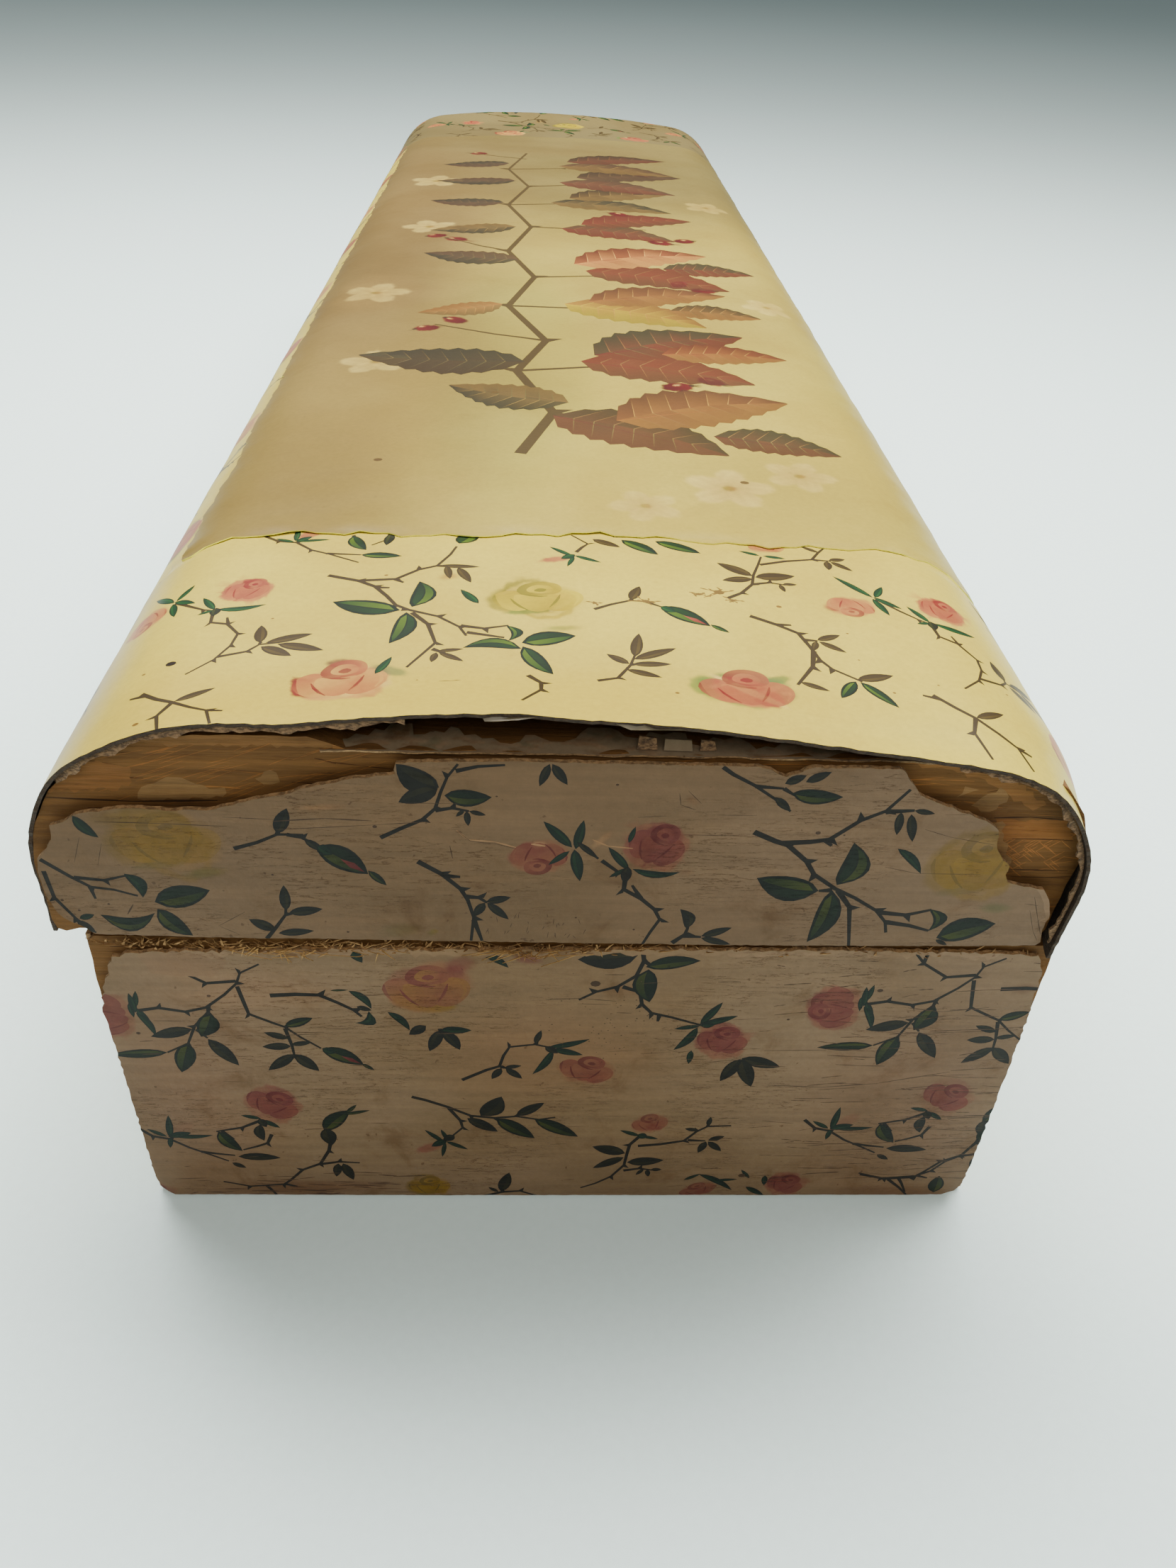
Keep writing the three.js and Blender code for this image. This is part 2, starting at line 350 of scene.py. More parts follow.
def build_sheet(
    name, surface, outline, ink, materials, nodes, lift=None, thickness=None, step=None, back_step=6.0,
    fine=None, edge_tint=(1, 1, 1), ink_tint=(1.12, 1, 0.95), ink_depth=(1.5, 0.8),
):
    """A sheet or board with its print, laid on a surface and closed behind and round its edge."""
    sizes = bpy.context.scene.glove_box_sizes
    step = step or sizes.mesh_step
    fine = fine or sizes.rose_step
    thickness = thickness or sizes.sheet
    low, high = outline.min(0), outline.max(0)
    ink = ink.within(low, high).tinted(ink_tint, ink_depth)
    points = [tuple(p) for p in outline]
    faces = [list(range(len(points)))]
    for shape in ink.shapes:
        faces.append(list(range(len(points), len(points) + len(shape[0]))))
        points += [tuple(p) for p in shape[0]]
    scattered = [dots(low, high, step, 3)]
    if ink.washes:
        close = dots(low, high, fine, 5)
        wanted = np.zeros(len(close), bool)
        coarse = dots(low, high, fine * 2.5, 6)
        wanted_coarse = np.zeros(len(coarse), bool)
        for centre, size, *_ in ink.washes:
            for cloud, chosen, big in ((close, wanted, False), (coarse, wanted_coarse, True)):
                if min(size) < BROAD_WASH and (max(size) > 4.2 and min(size) > 1.2) == big:
                    chosen |= np.hypot(*((cloud - centre).T)) < max(size)
        scattered += [close[wanted], coarse[wanted_coarse]]
    scattered = np.concatenate(scattered)
    clear = distance_to_outline(scattered, outline) > fine * 0.6
    points += [tuple(p) for p in scattered[clear]]
    spots, triangles, inside, _ = triangulate(points, faces)
    top = np.array([max(f) if 0 in f else -1 for f in inside])
    triangles, top = triangles[top >= 0], top[top >= 0]
    used, triangles = np.unique(triangles, return_inverse=True)
    triangles = triangles.reshape(-1, 3)
    spots = spots[used]
    soft = ink.soft_colour(spots)
    colour = soft[triangles]
    for index, (_, near, far, start, stop, weight) in enumerate(ink.shapes, 1):
        chosen = top == index
        if not chosen.any():
            continue
        axis = stop - start
        where = spots[triangles[chosen]]
        share = np.clip(((where - start) @ axis) / max(axis @ axis, 1e-9), 0, 1)[..., None]
        tone = near + (far - near) * share
        colour[chosen] += (tone - colour[chosen]) * weight
    rim = ordered_rim(triangles)
    behind_points = [tuple(spots[i]) for i in rim]
    inner = dots(low, high, back_step, 9)
    inner = inner[distance_to_outline(inner, spots[rim]) > back_step * 0.3]
    behind_points += [tuple(p) for p in inner]
    back_spots, back_triangles, back_inside, source = triangulate(behind_points, [list(range(len(rim)))])
    back_triangles = back_triangles[[0 in f for f in back_inside]]
    used, back_triangles = np.unique(back_triangles, return_inverse=True)
    back_triangles = back_triangles.reshape(-1, 3)
    place_of = {old: new for new, old in enumerate(used.tolist())}
    partner = {}
    for i, origins in enumerate(source):
        for origin in origins:
            partner[origin] = place_of.get(i)
    back_spots = back_spots[used]
    lift = lift or (lambda u, v: np.zeros_like(u))

    def place(flat, sink):
        u, v = flat[:, 0], flat[:, 1]
        raised = lift(u, v)
        point, across, ahead, normal = surface.frame(u, v)
        h = 0.05
        slope_u = (lift(u + h, v) - lift(u - h, v)) / (2 * h)
        slope_v = (lift(u, v + h) - lift(u, v - h)) / (2 * h)
        facing = normal - slope_u[:, None] * across - slope_v[:, None] * ahead
        facing /= np.linalg.norm(facing, axis=1)[:, None]
        return point + (raised - sink)[:, None] * normal, facing

    front, facing = place(spots, 0.0)
    back, back_facing = place(back_spots, thickness)
    count = len(front)
    back_faces = [(count + c, count + b, count + a) for a, b, c in back_triangles.tolist()]
    rim_faces = []
    for i, here in enumerate(rim):
        j = (i + 1) % len(rim)
        rim_faces.append((rim[j], here, count + partner[i], count + partner[j]))
    front_faces = [tuple(t) for t in triangles.tolist()]
    mesh = bpy.data.meshes.new(name)
    mesh.from_pydata(
        (np.concatenate([front, back]) * MM).tolist(), [], front_faces + back_faces + rim_faces
    )
    for material in materials:
        mesh.materials.append(material)
    kinds = [0] * len(front_faces) + [1] * (len(back_faces) + len(rim_faces))
    mesh.polygons.foreach_set("material_index", kinds)
    loops = len(mesh.loops)
    tint = np.ones((loops, 4), np.float32)
    tint[: len(front_faces) * 3, :3] = colour.reshape(-1, 3)
    tint[len(front_faces) * 3 :, :3] = edge_tint
    layer = mesh.color_attributes.new("print", "FLOAT_COLOR", "CORNER")
    layer.data.foreach_set("color", tint.ravel())
    mesh.update()
    mesh.polygons.foreach_set("use_smooth", [True] * len(mesh.polygons))
    flat_normals = np.zeros(len(mesh.polygons) * 3, np.float32)
    mesh.polygons.foreach_get("normal", flat_normals)
    flat_normals = flat_normals.reshape(-1, 3)
    order = np.zeros(loops, np.int32)
    mesh.loops.foreach_get("vertex_index", order)
    front_loops = len(front_faces) * 3
    back_loops = len(back_faces) * 3
    normals = np.zeros((loops, 3))
    normals[:front_loops] = facing[order[:front_loops]]
    middle = slice(front_loops, front_loops + back_loops)
    normals[middle] = -back_facing[order[middle] - count]
    normals[front_loops + back_loops :] = np.repeat(flat_normals[-len(rim_faces) :], 4, axis=0)
    mesh.normals_split_custom_set(normals.tolist())
    piece = bpy.data.objects.new(name, mesh)
    bpy.context.collection.objects.link(piece)
    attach(piece, BODY)
    if nodes:
        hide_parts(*nodes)
    return piece


# Printing inks, as multipliers of the paper they are printed on.
TWIG = {"dark": (0.10, 0.10, 0.09), "brown": (0.20, 0.17, 0.14)}
LEAF = {
    "dark": ((0.08, 0.09, 0.09), (0.10, 0.14, 0.12), (0.19, 0.24, 0.13)),
    "green": ((0.05, 0.10, 0.09), (0.07, 0.22, 0.14), (0.32, 0.52, 0.13)),
    "teal": ((0.05, 0.15, 0.16), (0.05, 0.25, 0.22), (0.11, 0.36, 0.26)),
    "brown": ((0.19, 0.16, 0.13), (0.22, 0.19, 0.14), (0.31, 0.28, 0.19)),
}
DEEP = (0.50, 0.09, 0.20)
ROSE = (0.68, 0.33, 0.46)
BLUSH = (0.86, 0.60, 0.62)
CREAM = (1.12, 1.04, 1.02)
PEACH = (1.0, 0.66, 0.52)
CORAL = (0.78, 0.43, 0.50)
PALE = (0.95, 0.76, 0.68)
YELLOW = (0.76, 0.73, 0.01)
OLIVE = (0.47, 0.50, 0.02)
GOLD = (0.72, 0.66, 0.005)
SHADOW = (0.36, 0.52, 0.62)
GREEN = (0.30, 0.55, 0.36)
SMUDGE = (0.38, 0.27, 0.32)
DIRT = (0.24, 0.17, 0.12)


def leaf(ink, x, y, tip_x, tip_y, width, kind="dark", bend=0.0):
    """A pointed leaf in two tones along its midrib, with a darker rim."""
    base, tip = np.array([x, y], float), np.array([tip_x, tip_y], float)
    run = tip - base
    length = max(np.hypot(*run), 1e-6)
    side = np.array([-run[1], run[0]]) / length
    rim, dark, light = LEAF[kind]

    def edge(share, out):
        swell = 0.5 * width * np.sin(math.pi * share**0.85) ** 0.8
        middle = base + run * share + side * bend * 4 * share * (1 - share)
        return middle + side * out * swell

    count = 7 if length > 2.5 else 5
    steps = [i / count for i in range(count + 1)]
    whole = [edge(s, 1) for s in steps[:-1]] + [edge(s, -1) for s in reversed(steps[1:])]
    ink.shape(whole, rim)
    inside = [0.08 + 0.84 * s for s in steps]
    fill = 0.72 if width > 1.3 else 0.6
    for out, near, far in ((fill, dark, rim), (-fill, light, dark)):
        half = [edge(s, 0.06 * np.sign(out)) for s in inside]
        half += [edge(s, out) for s in reversed(inside[1:-1])]
        ink.shape(half, near, far, base, tip)


def twig(ink, points, width=0.42, kind="dark", thorns=True, taper=0.5):
    """A kinked twig that thins towards its end, with a thorn at its sharper turns."""
    path = np.array(points, float)
    count = len(path)
    runs = np.diff(path, axis=0)
    runs /= np.maximum(np.hypot(runs[:, 0], runs[:, 1]), 1e-6)[:, None]
    headings = np.vstack([runs[:1], runs[:-1] + runs[1:], runs[-1:]])
    headings /= np.maximum(np.hypot(headings[:, 0], headings[:, 1]), 1e-6)[:, None]
    sides = np.stack([-headings[:, 1], headings[:, 0]], 1)
    breadth = 0.5 * width * (1 - (1 - taper) * np.arange(count) / max(count - 1, 1))
    left, right = path + sides * breadth[:, None], path - sides * breadth[:, None]
    for i in range(count - 1):
        ink.shape([right[i], right[i + 1], left[i + 1], left[i]], TWIG[kind])
    if not thorns:
        return
    for i in range(1, count - 1):
        turn = runs[i - 1][0] * runs[i][1] - runs[i - 1][1] * runs[i][0]
        if abs(turn) > 0.2:
            out = sides[i] * (-np.sign(turn))
            point = path[i] + out * width * 1.5 + runs[i - 1] * width * 0.8
            foot = runs[i - 1] * width * 0.8
            ink.shape([path[i] - foot, path[i] + foot, point], TWIG[kind])


def sprig(ink, twigs=(), leaves=(), kind="dark", width=0.42):
    """Twigs and the leaves on them. A leaf is its foot, its tip, its width and if need be kind and bend."""
    for points in twigs:
        twig(ink, points, width, "brown" if kind == "brown" else "dark")
    for x, y, tip_x, tip_y, breadth, *rest in leaves:
        leaf(ink, x, y, tip_x, tip_y, breadth, *(rest or (kind,)))


def bud(ink, x, y, tip_x, tip_y, width, core=ROSE):
    """A closed bud: green sepals with the petals showing near the tip."""
    leaf(ink, x, y, tip_x, tip_y, width, "green", width * 0.06)
    base, tip = np.array([x, y]), np.array([tip_x, tip_y])
    run = tip - base
    side = np.array([-run[1], run[0]]) / np.hypot(*run) * width * 0.13
    start, stop = base + run * 0.45, base + run * 0.93
    middle = (start + stop) / 2
    ink.shape([start, middle - side, stop, middle + side], core, DEEP, start, stop)
    leaf(ink, x, y, x + run[0] * 0.3, y + run[1] * 0.3, width * 0.5, "teal")


# Petals of a rose of unit size: centre, radii, tilt, colours, softness, strength and hollow.
ROSES = {
    "side": [
        (0, 0, 1.0, 0.92, -70, ROSE, BLUSH, 0.16, 1),
        (-0.35, -0.35, 0.62, 0.5, 150, BLUSH, ROSE, 0.2, 1),
        (0.38, -0.3, 0.6, 0.5, -35, ROSE, BLUSH, 0.18, 1),
        (-0.5, 0.2, 0.5, 0.42, 120, DEEP, BLUSH, 0.2, 0.9),
        (0.5, 0.25, 0.5, 0.42, 50, ROSE, BLUSH, 0.2, 0.9),
        (0.05, 0.45, 0.62, 0.34, 5, DEEP, ROSE, 0.22, 0.9),
        (0.0, 0.3, 0.5, 0.3, 20, BLUSH, ROSE, 0.3, 1, 0.72),
        (-0.08, 0.12, 0.36, 0.24, 30, DEEP, ROSE, 0.3, 0.95),
        (0.1, 0.2, 0.24, 0.12, 60, BLUSH, CREAM, 0.4, 0.9),
        (-0.15, -0.22, 0.6, 0.07, -38, DEEP, DEEP, 0.5, 0.8),
        (0.28, -0.1, 0.55, 0.06, 52, DEEP, ROSE, 0.5, 0.8),
        (0.08, -0.5, 0.5, 0.06, 75, DEEP, ROSE, 0.5, 0.6),
        (-0.55, -0.05, 0.34, 0.07, 80, DEEP, DEEP, 0.5, 0.6),
        (0.42, 0.5, 0.4, 0.06, -30, DEEP, ROSE, 0.5, 0.7),
    ],
    "open": [
        (0.1, -0.1, 0.95, 0.8, 20, BLUSH, CREAM, 0.22, 0.95),
        (0.35, -0.35, 0.6, 0.45, -30, CREAM, BLUSH, 0.25, 0.9),
        (0.55, 0.1, 0.5, 0.42, 70, ROSE, BLUSH, 0.3, 0.7),
        (-0.1, -0.45, 0.6, 0.4, 190, CREAM, BLUSH, 0.25, 0.9),
        (-0.62, -0.2, 0.42, 0.3, 100, DEEP, ROSE, 0.3, 1),
        (-0.72, 0.05, 0.3, 0.2, 130, DEEP, DEEP, 0.35, 0.95),
        (-0.1, 0.05, 0.5, 0.3, 30, CREAM, CREAM, 0.3, 0.9),
        (0.2, 0.25, 0.5, 0.07, 25, ROSE, BLUSH, 0.5, 0.7),
        (0.3, -0.2, 0.5, 0.06, -50, ROSE, BLUSH, 0.5, 0.6),
        (0.0, 0.7, 0.42, 0.24, -10, SMUDGE, ROSE, 0.5, 0.9),
        (0.9, 0.35, 0.5, 0.22, -25, SHADOW, SHADOW, 0.7, 0.7),
    ],
    "cream": [
        (0, 0, 1.0, 0.85, 0, GREEN, SHADOW, 0.35, 0.75),
        (-0.75, 0.05, 0.45, 0.4, 90, GREEN, GREEN, 0.5, 0.7),
        (0, -0.1, 0.72, 0.62, -40, ROSE, BLUSH, 0.2, 1),
        (-0.3, 0.05, 0.42, 0.34, 120, DEEP, ROSE, 0.3, 0.95),
        (0.32, -0.25, 0.45, 0.36, -60, DEEP, ROSE, 0.3, 0.9),
        (-0.2, -0.35, 0.42, 0.26, 200, BLUSH, ROSE, 0.3, 0.9),
        (0.05, -0.05, 0.95, 0.15, -42, CREAM, CREAM, 0.4, 0.95),
        (-0.4, 0.2, 0.42, 0.1, 35, CREAM, BLUSH, 0.5, 0.85),
        (0.45, 0.1, 0.4, 0.1, 40, BLUSH, CREAM, 0.5, 0.8),
        (0.75, 0.0, 0.16, 0.1, 0, CREAM, CREAM, 0.6, 0.9),
        (0.6, 0.5, 0.4, 0.2, 30, SHADOW, GREEN, 0.6, 0.7),
    ],
    "pale": [
        (0, 0, 1.0, 0.85, 10, BLUSH, BLUSH, 0.25, 0.85),
        (-0.4, -0.2, 0.5, 0.42, 160, ROSE, BLUSH, 0.25, 0.8),
        (0.4, 0.1, 0.5, 0.45, 30, ROSE, BLUSH, 0.25, 0.8),
        (0.0, 0.35, 0.5, 0.35, 0, BLUSH, CREAM, 0.25, 0.85),
        (0.2, -0.4, 0.42, 0.26, -20, DEEP, ROSE, 0.3, 0.85),
        (-0.1, 0.15, 0.5, 0.07, 20, ROSE, DEEP, 0.5, 0.7),
        (0.1, -0.05, 0.5, 0.07, -40, DEEP, ROSE, 0.5, 0.7),
        (-0.5, 0.1, 0.3, 0.05, 70, DEEP, ROSE, 0.5, 0.6),
        (0.5, -0.1, 0.35, 0.05, 60, DEEP, ROSE, 0.5, 0.6),
    ],
    "sunset": [
        (0.15, 0.1, 0.95, 0.85, 40, PEACH, BLUSH, 0.35, 0.85),
        (-0.35, 0.15, 0.55, 0.6, 80, BLUSH, ROSE, 0.4, 0.6),
        (-0.1, -0.5, 0.75, 0.36, -8, PEACH, YELLOW, 0.35, 0.9),
        (-0.2, -0.3, 0.62, 0.12, -18, ROSE, PEACH, 0.5, 0.7),
        (0.45, 0.3, 0.5, 0.4, 60, PEACH, ROSE, 0.35, 0.75),
        (0.5, 0.55, 0.4, 0.26, 40, DEEP, ROSE, 0.4, 0.6),
        (0.3, 0.05, 0.4, 0.08, 60, DEEP, ROSE, 0.5, 0.45),
        (0.1, 0.2, 0.45, 0.1, 20, CREAM, PEACH, 0.5, 0.6),
    ],
    "yellow": [
        (0, 0, 1.0, 0.95, 0, (0.82, 0.84, 0.40), (0.92, 0.90, 0.5), 0.3, 0.85),
        (-0.55, -0.1, 0.5, 0.7, 0, OLIVE, YELLOW, 0.4, 0.75),
        (0.1, -0.15, 0.75, 0.6, 10, YELLOW, GOLD, 0.25, 0.85),
        (0, 0, 0.95, 0.84, -60, OLIVE, YELLOW, 0.14, 0.75, 0.82),
        (0.2, 0.1, 0.42, 0.36, 10, GOLD, YELLOW, 0.25, 0.95),
        (0.2, 0.12, 0.46, 0.4, 10, OLIVE, OLIVE, 0.12, 0.7, 0.84),
        (0.2, 0.28, 0.3, 0.1, 0, CREAM, YELLOW, 0.4, 0.6),
        (-0.1, -0.62, 0.62, 0.16, 12, GREEN, OLIVE, 0.5, 0.7),
        (0.5, -0.3, 0.45, 0.09, 48, CREAM, YELLOW, 0.4, 0.7),
        (-0.5, 0.42, 0.4, 0.09, 40, CREAM, YELLOW, 0.4, 0.6),
    ],
}
# Crisper folds over the petals: an outline for a rose of unit size and its near and far colour, as
# places in the kind's dark, middle and pale colours.
PETALS = (
    (((-0.5, 0.5), (-0.92, 0.3), (-0.95, -0.2), (-0.55, -0.72), (-0.1, -0.6), (-0.2, 0.1)), 1, 2),
    (((0.5, 0.55), (0.95, 0.35), (0.98, -0.15), (0.6, -0.7), (0.1, -0.62), (0.25, 0.1)), 2, 1),
    (((-0.5, 0.3), (-0.35, 0.8), (0.1, 0.98), (0.5, 0.8), (0.52, 0.3), (0.0, 0.1)), 0, 1),
    (((-0.3, 0.4), (-0.1, 0.78), (0.3, 0.72), (0.36, 0.38), (0.05, 0.25)), 2, 1),
    (((-0.12, 0.42), (0.04, 0.6), (0.22, 0.5), (0.1, 0.34)), 0, 0),
    (((-0.55, 0.28), (-0.1, 0.12), (0.5, 0.3), (0.42, -0.35), (0.05, -0.8), (-0.42, -0.45)), 2, 1),
    (((-0.5, 0.3), (-0.05, 0.06), (0.3, 0.14), (-0.05, 0.16)), 0, 0),
    (((0.5, 0.34), (0.46, -0.1), (0.2, -0.6), (0.36, -0.12)), 0, 0),
    (((-0.62, 0.12), (-0.46, -0.4), (-0.1, -0.74), (-0.36, -0.38)), 0, 0),
    (((0.62, 0.5), (0.96, 0.1), (0.72, -0.5), (0.86, 0.05)), 2, 2),
    (((-0.9, 0.28), (-0.98, -0.1), (-0.7, -0.58), (-0.86, -0.1)), 0, 1),
)
PETAL_COLOURS = {
    "side": (DEEP, ROSE, CORAL), "open": (DEEP, CORAL, PALE), "cream": (DEEP, ROSE, CORAL),
    "pale": (DEEP, CORAL, BLUSH),
    "sunset": (ROSE, BLUSH, (0.96, 0.84, 0.5)), "yellow": (OLIVE, YELLOW, (0.93, 0.92, 0.24)),
}


def rounded(points, rounds=2):
    """A closed outline with its corners cut off."""
    points = np.array(points, float)
    for _ in range(rounds):
        after = np.roll(points, -1, 0)
        points = np.stack([0.75 * points + 0.25 * after, 0.25 * points + 0.75 * after], 1).reshape(-1, 2)
    return points


def rose(ink, kind, x, y, width, height, turn=0.0, strength=1.0, flip=1):
    """A rose built up from soft petals, the outer ones first, with crisper folds over them."""
    angle = math.radians(turn)
    for centre_x, centre_y, long, short, tilt, inner, outer, soft, weight, *hollow in ROSES[kind]:
        px, py = centre_x * flip * width / 2, centre_y * height / 2
        spot = (
            x + px * math.cos(angle) - py * math.sin(angle),
            y + px * math.sin(angle) + py * math.cos(angle),
        )
        tilt = tilt if flip > 0 else 180 - tilt
        size = (long * width / 2, short * height / 2)
        ink.wash(spot, size, tilt + turn, inner, outer, soft * 0.7, weight * strength, *hollow)
    colours = PETAL_COLOURS[kind]
    spin = np.array([[math.cos(angle), math.sin(angle)], [-math.sin(angle), math.cos(angle)]])
    scale = np.array([0.46 * width * flip, 0.46 * height])
    for outline, near, far in PETALS:
        points = rounded(outline, 1 if len(outline) < 5 else 2) * scale @ spin + (x, y)
        ink.shape(points, colours[near], colours[far], points[0], points[len(points) // 2], 0.85 * strength)


def crack(ink, points, width=0.12, colour=DIRT):
    """A fine dark crack or scratch that is widest in its middle."""
    path = np.array(points, float)
    for start, stop in zip(path[:-1], path[1:]):
        run = stop - start
        side = np.array([-run[1], run[0]]) / max(np.hypot(*run), 1e-6) * width / 2
        middle = (start + stop) / 2
        ink.shape([start - side * 0.4, middle - side, stop - side * 0.4, stop + side * 0.4, middle + side,
                   start + side * 0.4], colour, strength=0.8)


def spot(ink, x, y, size, colour=DIRT, strength=0.85):
    """A small round stain."""
    ring = [(x + size * math.cos(a), y + size * 0.8 * math.sin(a)) for a in np.linspace(0, 2 * math.pi,
        9)[:-1]]
    ink.shape(ring, colour, strength=strength)


def stars(ink, x, y, size, seed, arms=7):
    """A brown stain with thin arms."""
    draw = np.random.default_rng(seed)
    for _ in range(arms):
        heading = draw.uniform(0, 2 * math.pi)
        reach = size * draw.uniform(0.4, 1)
        stop = (x + reach * math.cos(heading), y + reach * 0.7 * math.sin(heading))
        bend = ((x + stop[0]) / 2 + draw.uniform(-0.2, 0.2) * size, (y + stop[1]) / 2)
        crack(ink, [(x, y), bend, stop], 0.22, (0.35, 0.2, 0.12))
    spot(ink, x, y, size * 0.22, (0.3, 0.17, 0.1))


def patch(ink, points, colour, seed, roughness=0.25, strength=1.0):
    """A torn-edged patch of one colour."""
    ink.shape(ragged([(*p, roughness) for p in points], seed, 0.5), colour, strength=strength)


def lid_end_print():
    """The rose sprigs on the lid's front end, with its wear. Coordinates are x and z."""
    ink = Ink()
    ink.wash((0, 50), (90, 30), 0, (0.68, 0.74, 0.76), (0.70, 0.76, 0.78), 0.3)
    rose(ink, "yellow", -34.6, 51.6, 10.5, 7.6, 0, 0.5)
    ink.wash((-36.5, 54.2), (5.0, 1.3), 4, OLIVE, YELLOW, 0.6, 0.55)
    ink.wash((-31.7, 48.2), (2.4, 0.8), 10, GREEN, OLIVE, 0.7, 0.7)
    rose(ink, "yellow", 35.2, 50.2, 9.6, 9.0, 0, 0.55)
    ink.wash((38.0, 45.2), (1.9, 0.8), 0, GREEN, GREEN, 0.7, 0.7)
    ink.wash((-15.6, 41.6), (2.6, 1.1), 10, SHADOW, OLIVE, 0.7, 0.6)
    ink.wash((-12.6, 41.4), (0.7, 0.4), 30, GREEN, YELLOW, 0.6, 0.8)
    rose(ink, "pale", -3.2, 50.5, 5.6, 4.8, 180, 0.95)
    ink.wash((-5.2, 50.3), (0.9, 0.8), 150, DEEP, ROSE, 0.5, 0.85)
    rose(ink, "side", 6.8, 51.9, 5.6, 6.2, -24)
    sprig(ink, [
        [(-45.4, 49.5), (-43.3, 47.6), (-41.8, 46.4), (-39.9, 46.1), (-38, 45.4)],
        [(-43, 47.5), (-40.5, 47.2), (-38.5, 47.8)], [(-41.9, 46.5), (-41.7, 45.0)],
        [(-45.4, 48.2), (-45.2, 45.1), (-43.9, 42.6), (-42.5, 40.9)],
    ], [
        (-41.7, 54.3, -40, 52, 1.1, "teal", -0.2), (-38.7, 48, -37.6, 45.2, 1.3, "teal", 0.6),
        (-36.7, 44.7, -31.7, 46.2, 2.6, "green"), (-36.6, 43.9, -34, 40.7, 1.9, "green", -0.3),
        (-41.7, 43.1, -36.9, 43.4, 1.7, "green", -1.3), (-43.6, 42.6, -42.2, 43.1, 0.7, "teal"),
        (-43.9, 42.4, -42.5, 40.9, 0.9, "dark"),
    ])
    sprig(ink, [
        [(-29, 51), (-27, 51.7), (-25.2, 52.6), (-23, 52.6)], [(-24.4, 52.6), (-23.2, 52.3), (-21.6, 51.2)],
    ], [(-25.2, 52.7, -24.1, 55.4, 1.3), (-23.0, 52.1, -21.4, 50.8, 0.8)])
    bud(ink, -22.0, 51.4, -17.9, 48.3, 2.5)
    leaf(ink, -17.9, 48.7, -16.4, 47, 0.8, "green")
    ink.wash((-19.6, 49.2), (1.8, 0.5), -38, SHADOW, SHADOW, 0.8, 0.5)
    sprig(ink, [[(-27.5, 40.4), (-26.6, 41.7), (-25.5, 43.4), (-25.3, 45)]], [
        (-25.4, 43.9, -25.3, 46.9, 1.0), (-25.2, 43.6, -22.2, 44.1, 1.1), (-26.6, 41.5, -28.8, 42.8, 1.2),
        (-26.4, 41.1, -23.2, 41.4, 0.9),
    ])
    sprig(ink, [
        [(-16.6, 52.4), (-14.9, 53.4), (-13, 54.4), (-11.9, 55.6), (-11.4, 57.3), (-10.8, 58.9),
            (-9.9, 60.2)],
        [(-11.9, 55.4), (-10.5, 55.7), (-9.1, 55.4)], [(-10.1, 59.5), (-8.3, 60), (-6.1, 60.2)],
    ], [
        (-11.5, 57.8, -14.9, 60.1, 2.4, "dark", 0.5), (-11.6, 57.7, -14.9, 56.2, 1.7),
        (-11.1, 57, -7.2, 56.9, 1.8, "green", -0.2), (-9.1, 55.4, -7.7, 55, 0.5),
        (-9.3, 55.4, -9.2, 53.8, 0.6),
        (-9.5, 55.5, -10.2, 54.8, 0.4), (-2.5, 60.4, -3.3, 58.1, 0.8), (-2.3, 60.4, -1, 58.3, 0.9),
    ])
    sprig(ink, [
        [(-13.6, 49.8), (-11.6, 48.4), (-10, 46.7), (-9.4, 45.4), (-8.9, 43.3), (-9.2, 40.4)],
        [(-11.2, 48.2), (-10, 48.1)], [(-9.5, 45.8), (-8.4, 45.7), (-7.7, 45.1)],
        [(-8.9, 43.0), (-8.2, 40.4)],
    ], [(-7.8, 45.2, -5.6, 45.8, 0.9), (-7.9, 45.1, -8.9, 43.4, 0.9), (-7.7, 45.1, -5.8, 43.1, 0.9)],
    width=0.52)
    sprig(ink, [[(0.3, 51.9), (1.9, 50.4)], [(2.2, 50.2), (3.6, 49.0), (4.4, 48.6)]], [
        (-0.4, 51.6, -2.9, 54.4, 1.0, "teal"), (-0.1, 51.4, 0.5, 54.6, 0.9, "teal"),
        (-0.2, 51.4, 0.4, 47.8, 1.1, "teal"), (0.0, 52.2, 1.9, 50.4, 0.6),
        (-0.6, 51.2, -2.4, 49.6, 0.6, "teal"),
        (4.6, 49.2, 2.7, 51.7, 0.8, "teal"), (4.4, 52.2, 4.9, 54.0, 0.5, "teal"),
        (4.9, 49.3, 9.1, 49.0, 0.8, "teal", -0.5), (4.6, 49.4, 2.9, 48.3, 0.5, "teal"),
        (4.5, 49.6, 4.3, 47.6, 1.0),
    ])
    sprig(ink, [
        [(4.4, 48.9), (4.3, 46.9), (5.9, 45.8), (7.2, 44.5), (7.75, 43.3), (7, 41.7), (6.4, 40.2)],
        [(5.9, 45.8), (5.0, 47.4)], [(9.1, 40.4), (10.2, 41.5), (10.4, 42.4)], [(10.0, 41.3), (11.7, 41.2)],
    ], [
        (10.3, 42.2, 9.5, 44.6, 1.2, "dark", -0.5), (11.7, 41.3, 14.4, 42.4, 0.9),
        (11.7, 41.1, 14.5, 40.3, 0.8),
    ], width=0.5)
    sprig(ink, [
        [(11.6, 60.4), (12.5, 59.7), (14.4, 58.6), (16.3, 57.2), (17.8, 55.9)], [(14.5, 58.5), (16.9, 58.3)],
        [(16.9, 58.3), (17.9, 57.6)],
    ], [
        (16.3, 57.4, 17.8, 55.9, 0.8), (16.9, 58.8, 18.6, 59.7, 0.9), (18.6, 59.0, 20.6, 60.1, 0.9),
        (17.6, 57.8, 22, 57.5, 1.6, "green", -0.2),
    ])
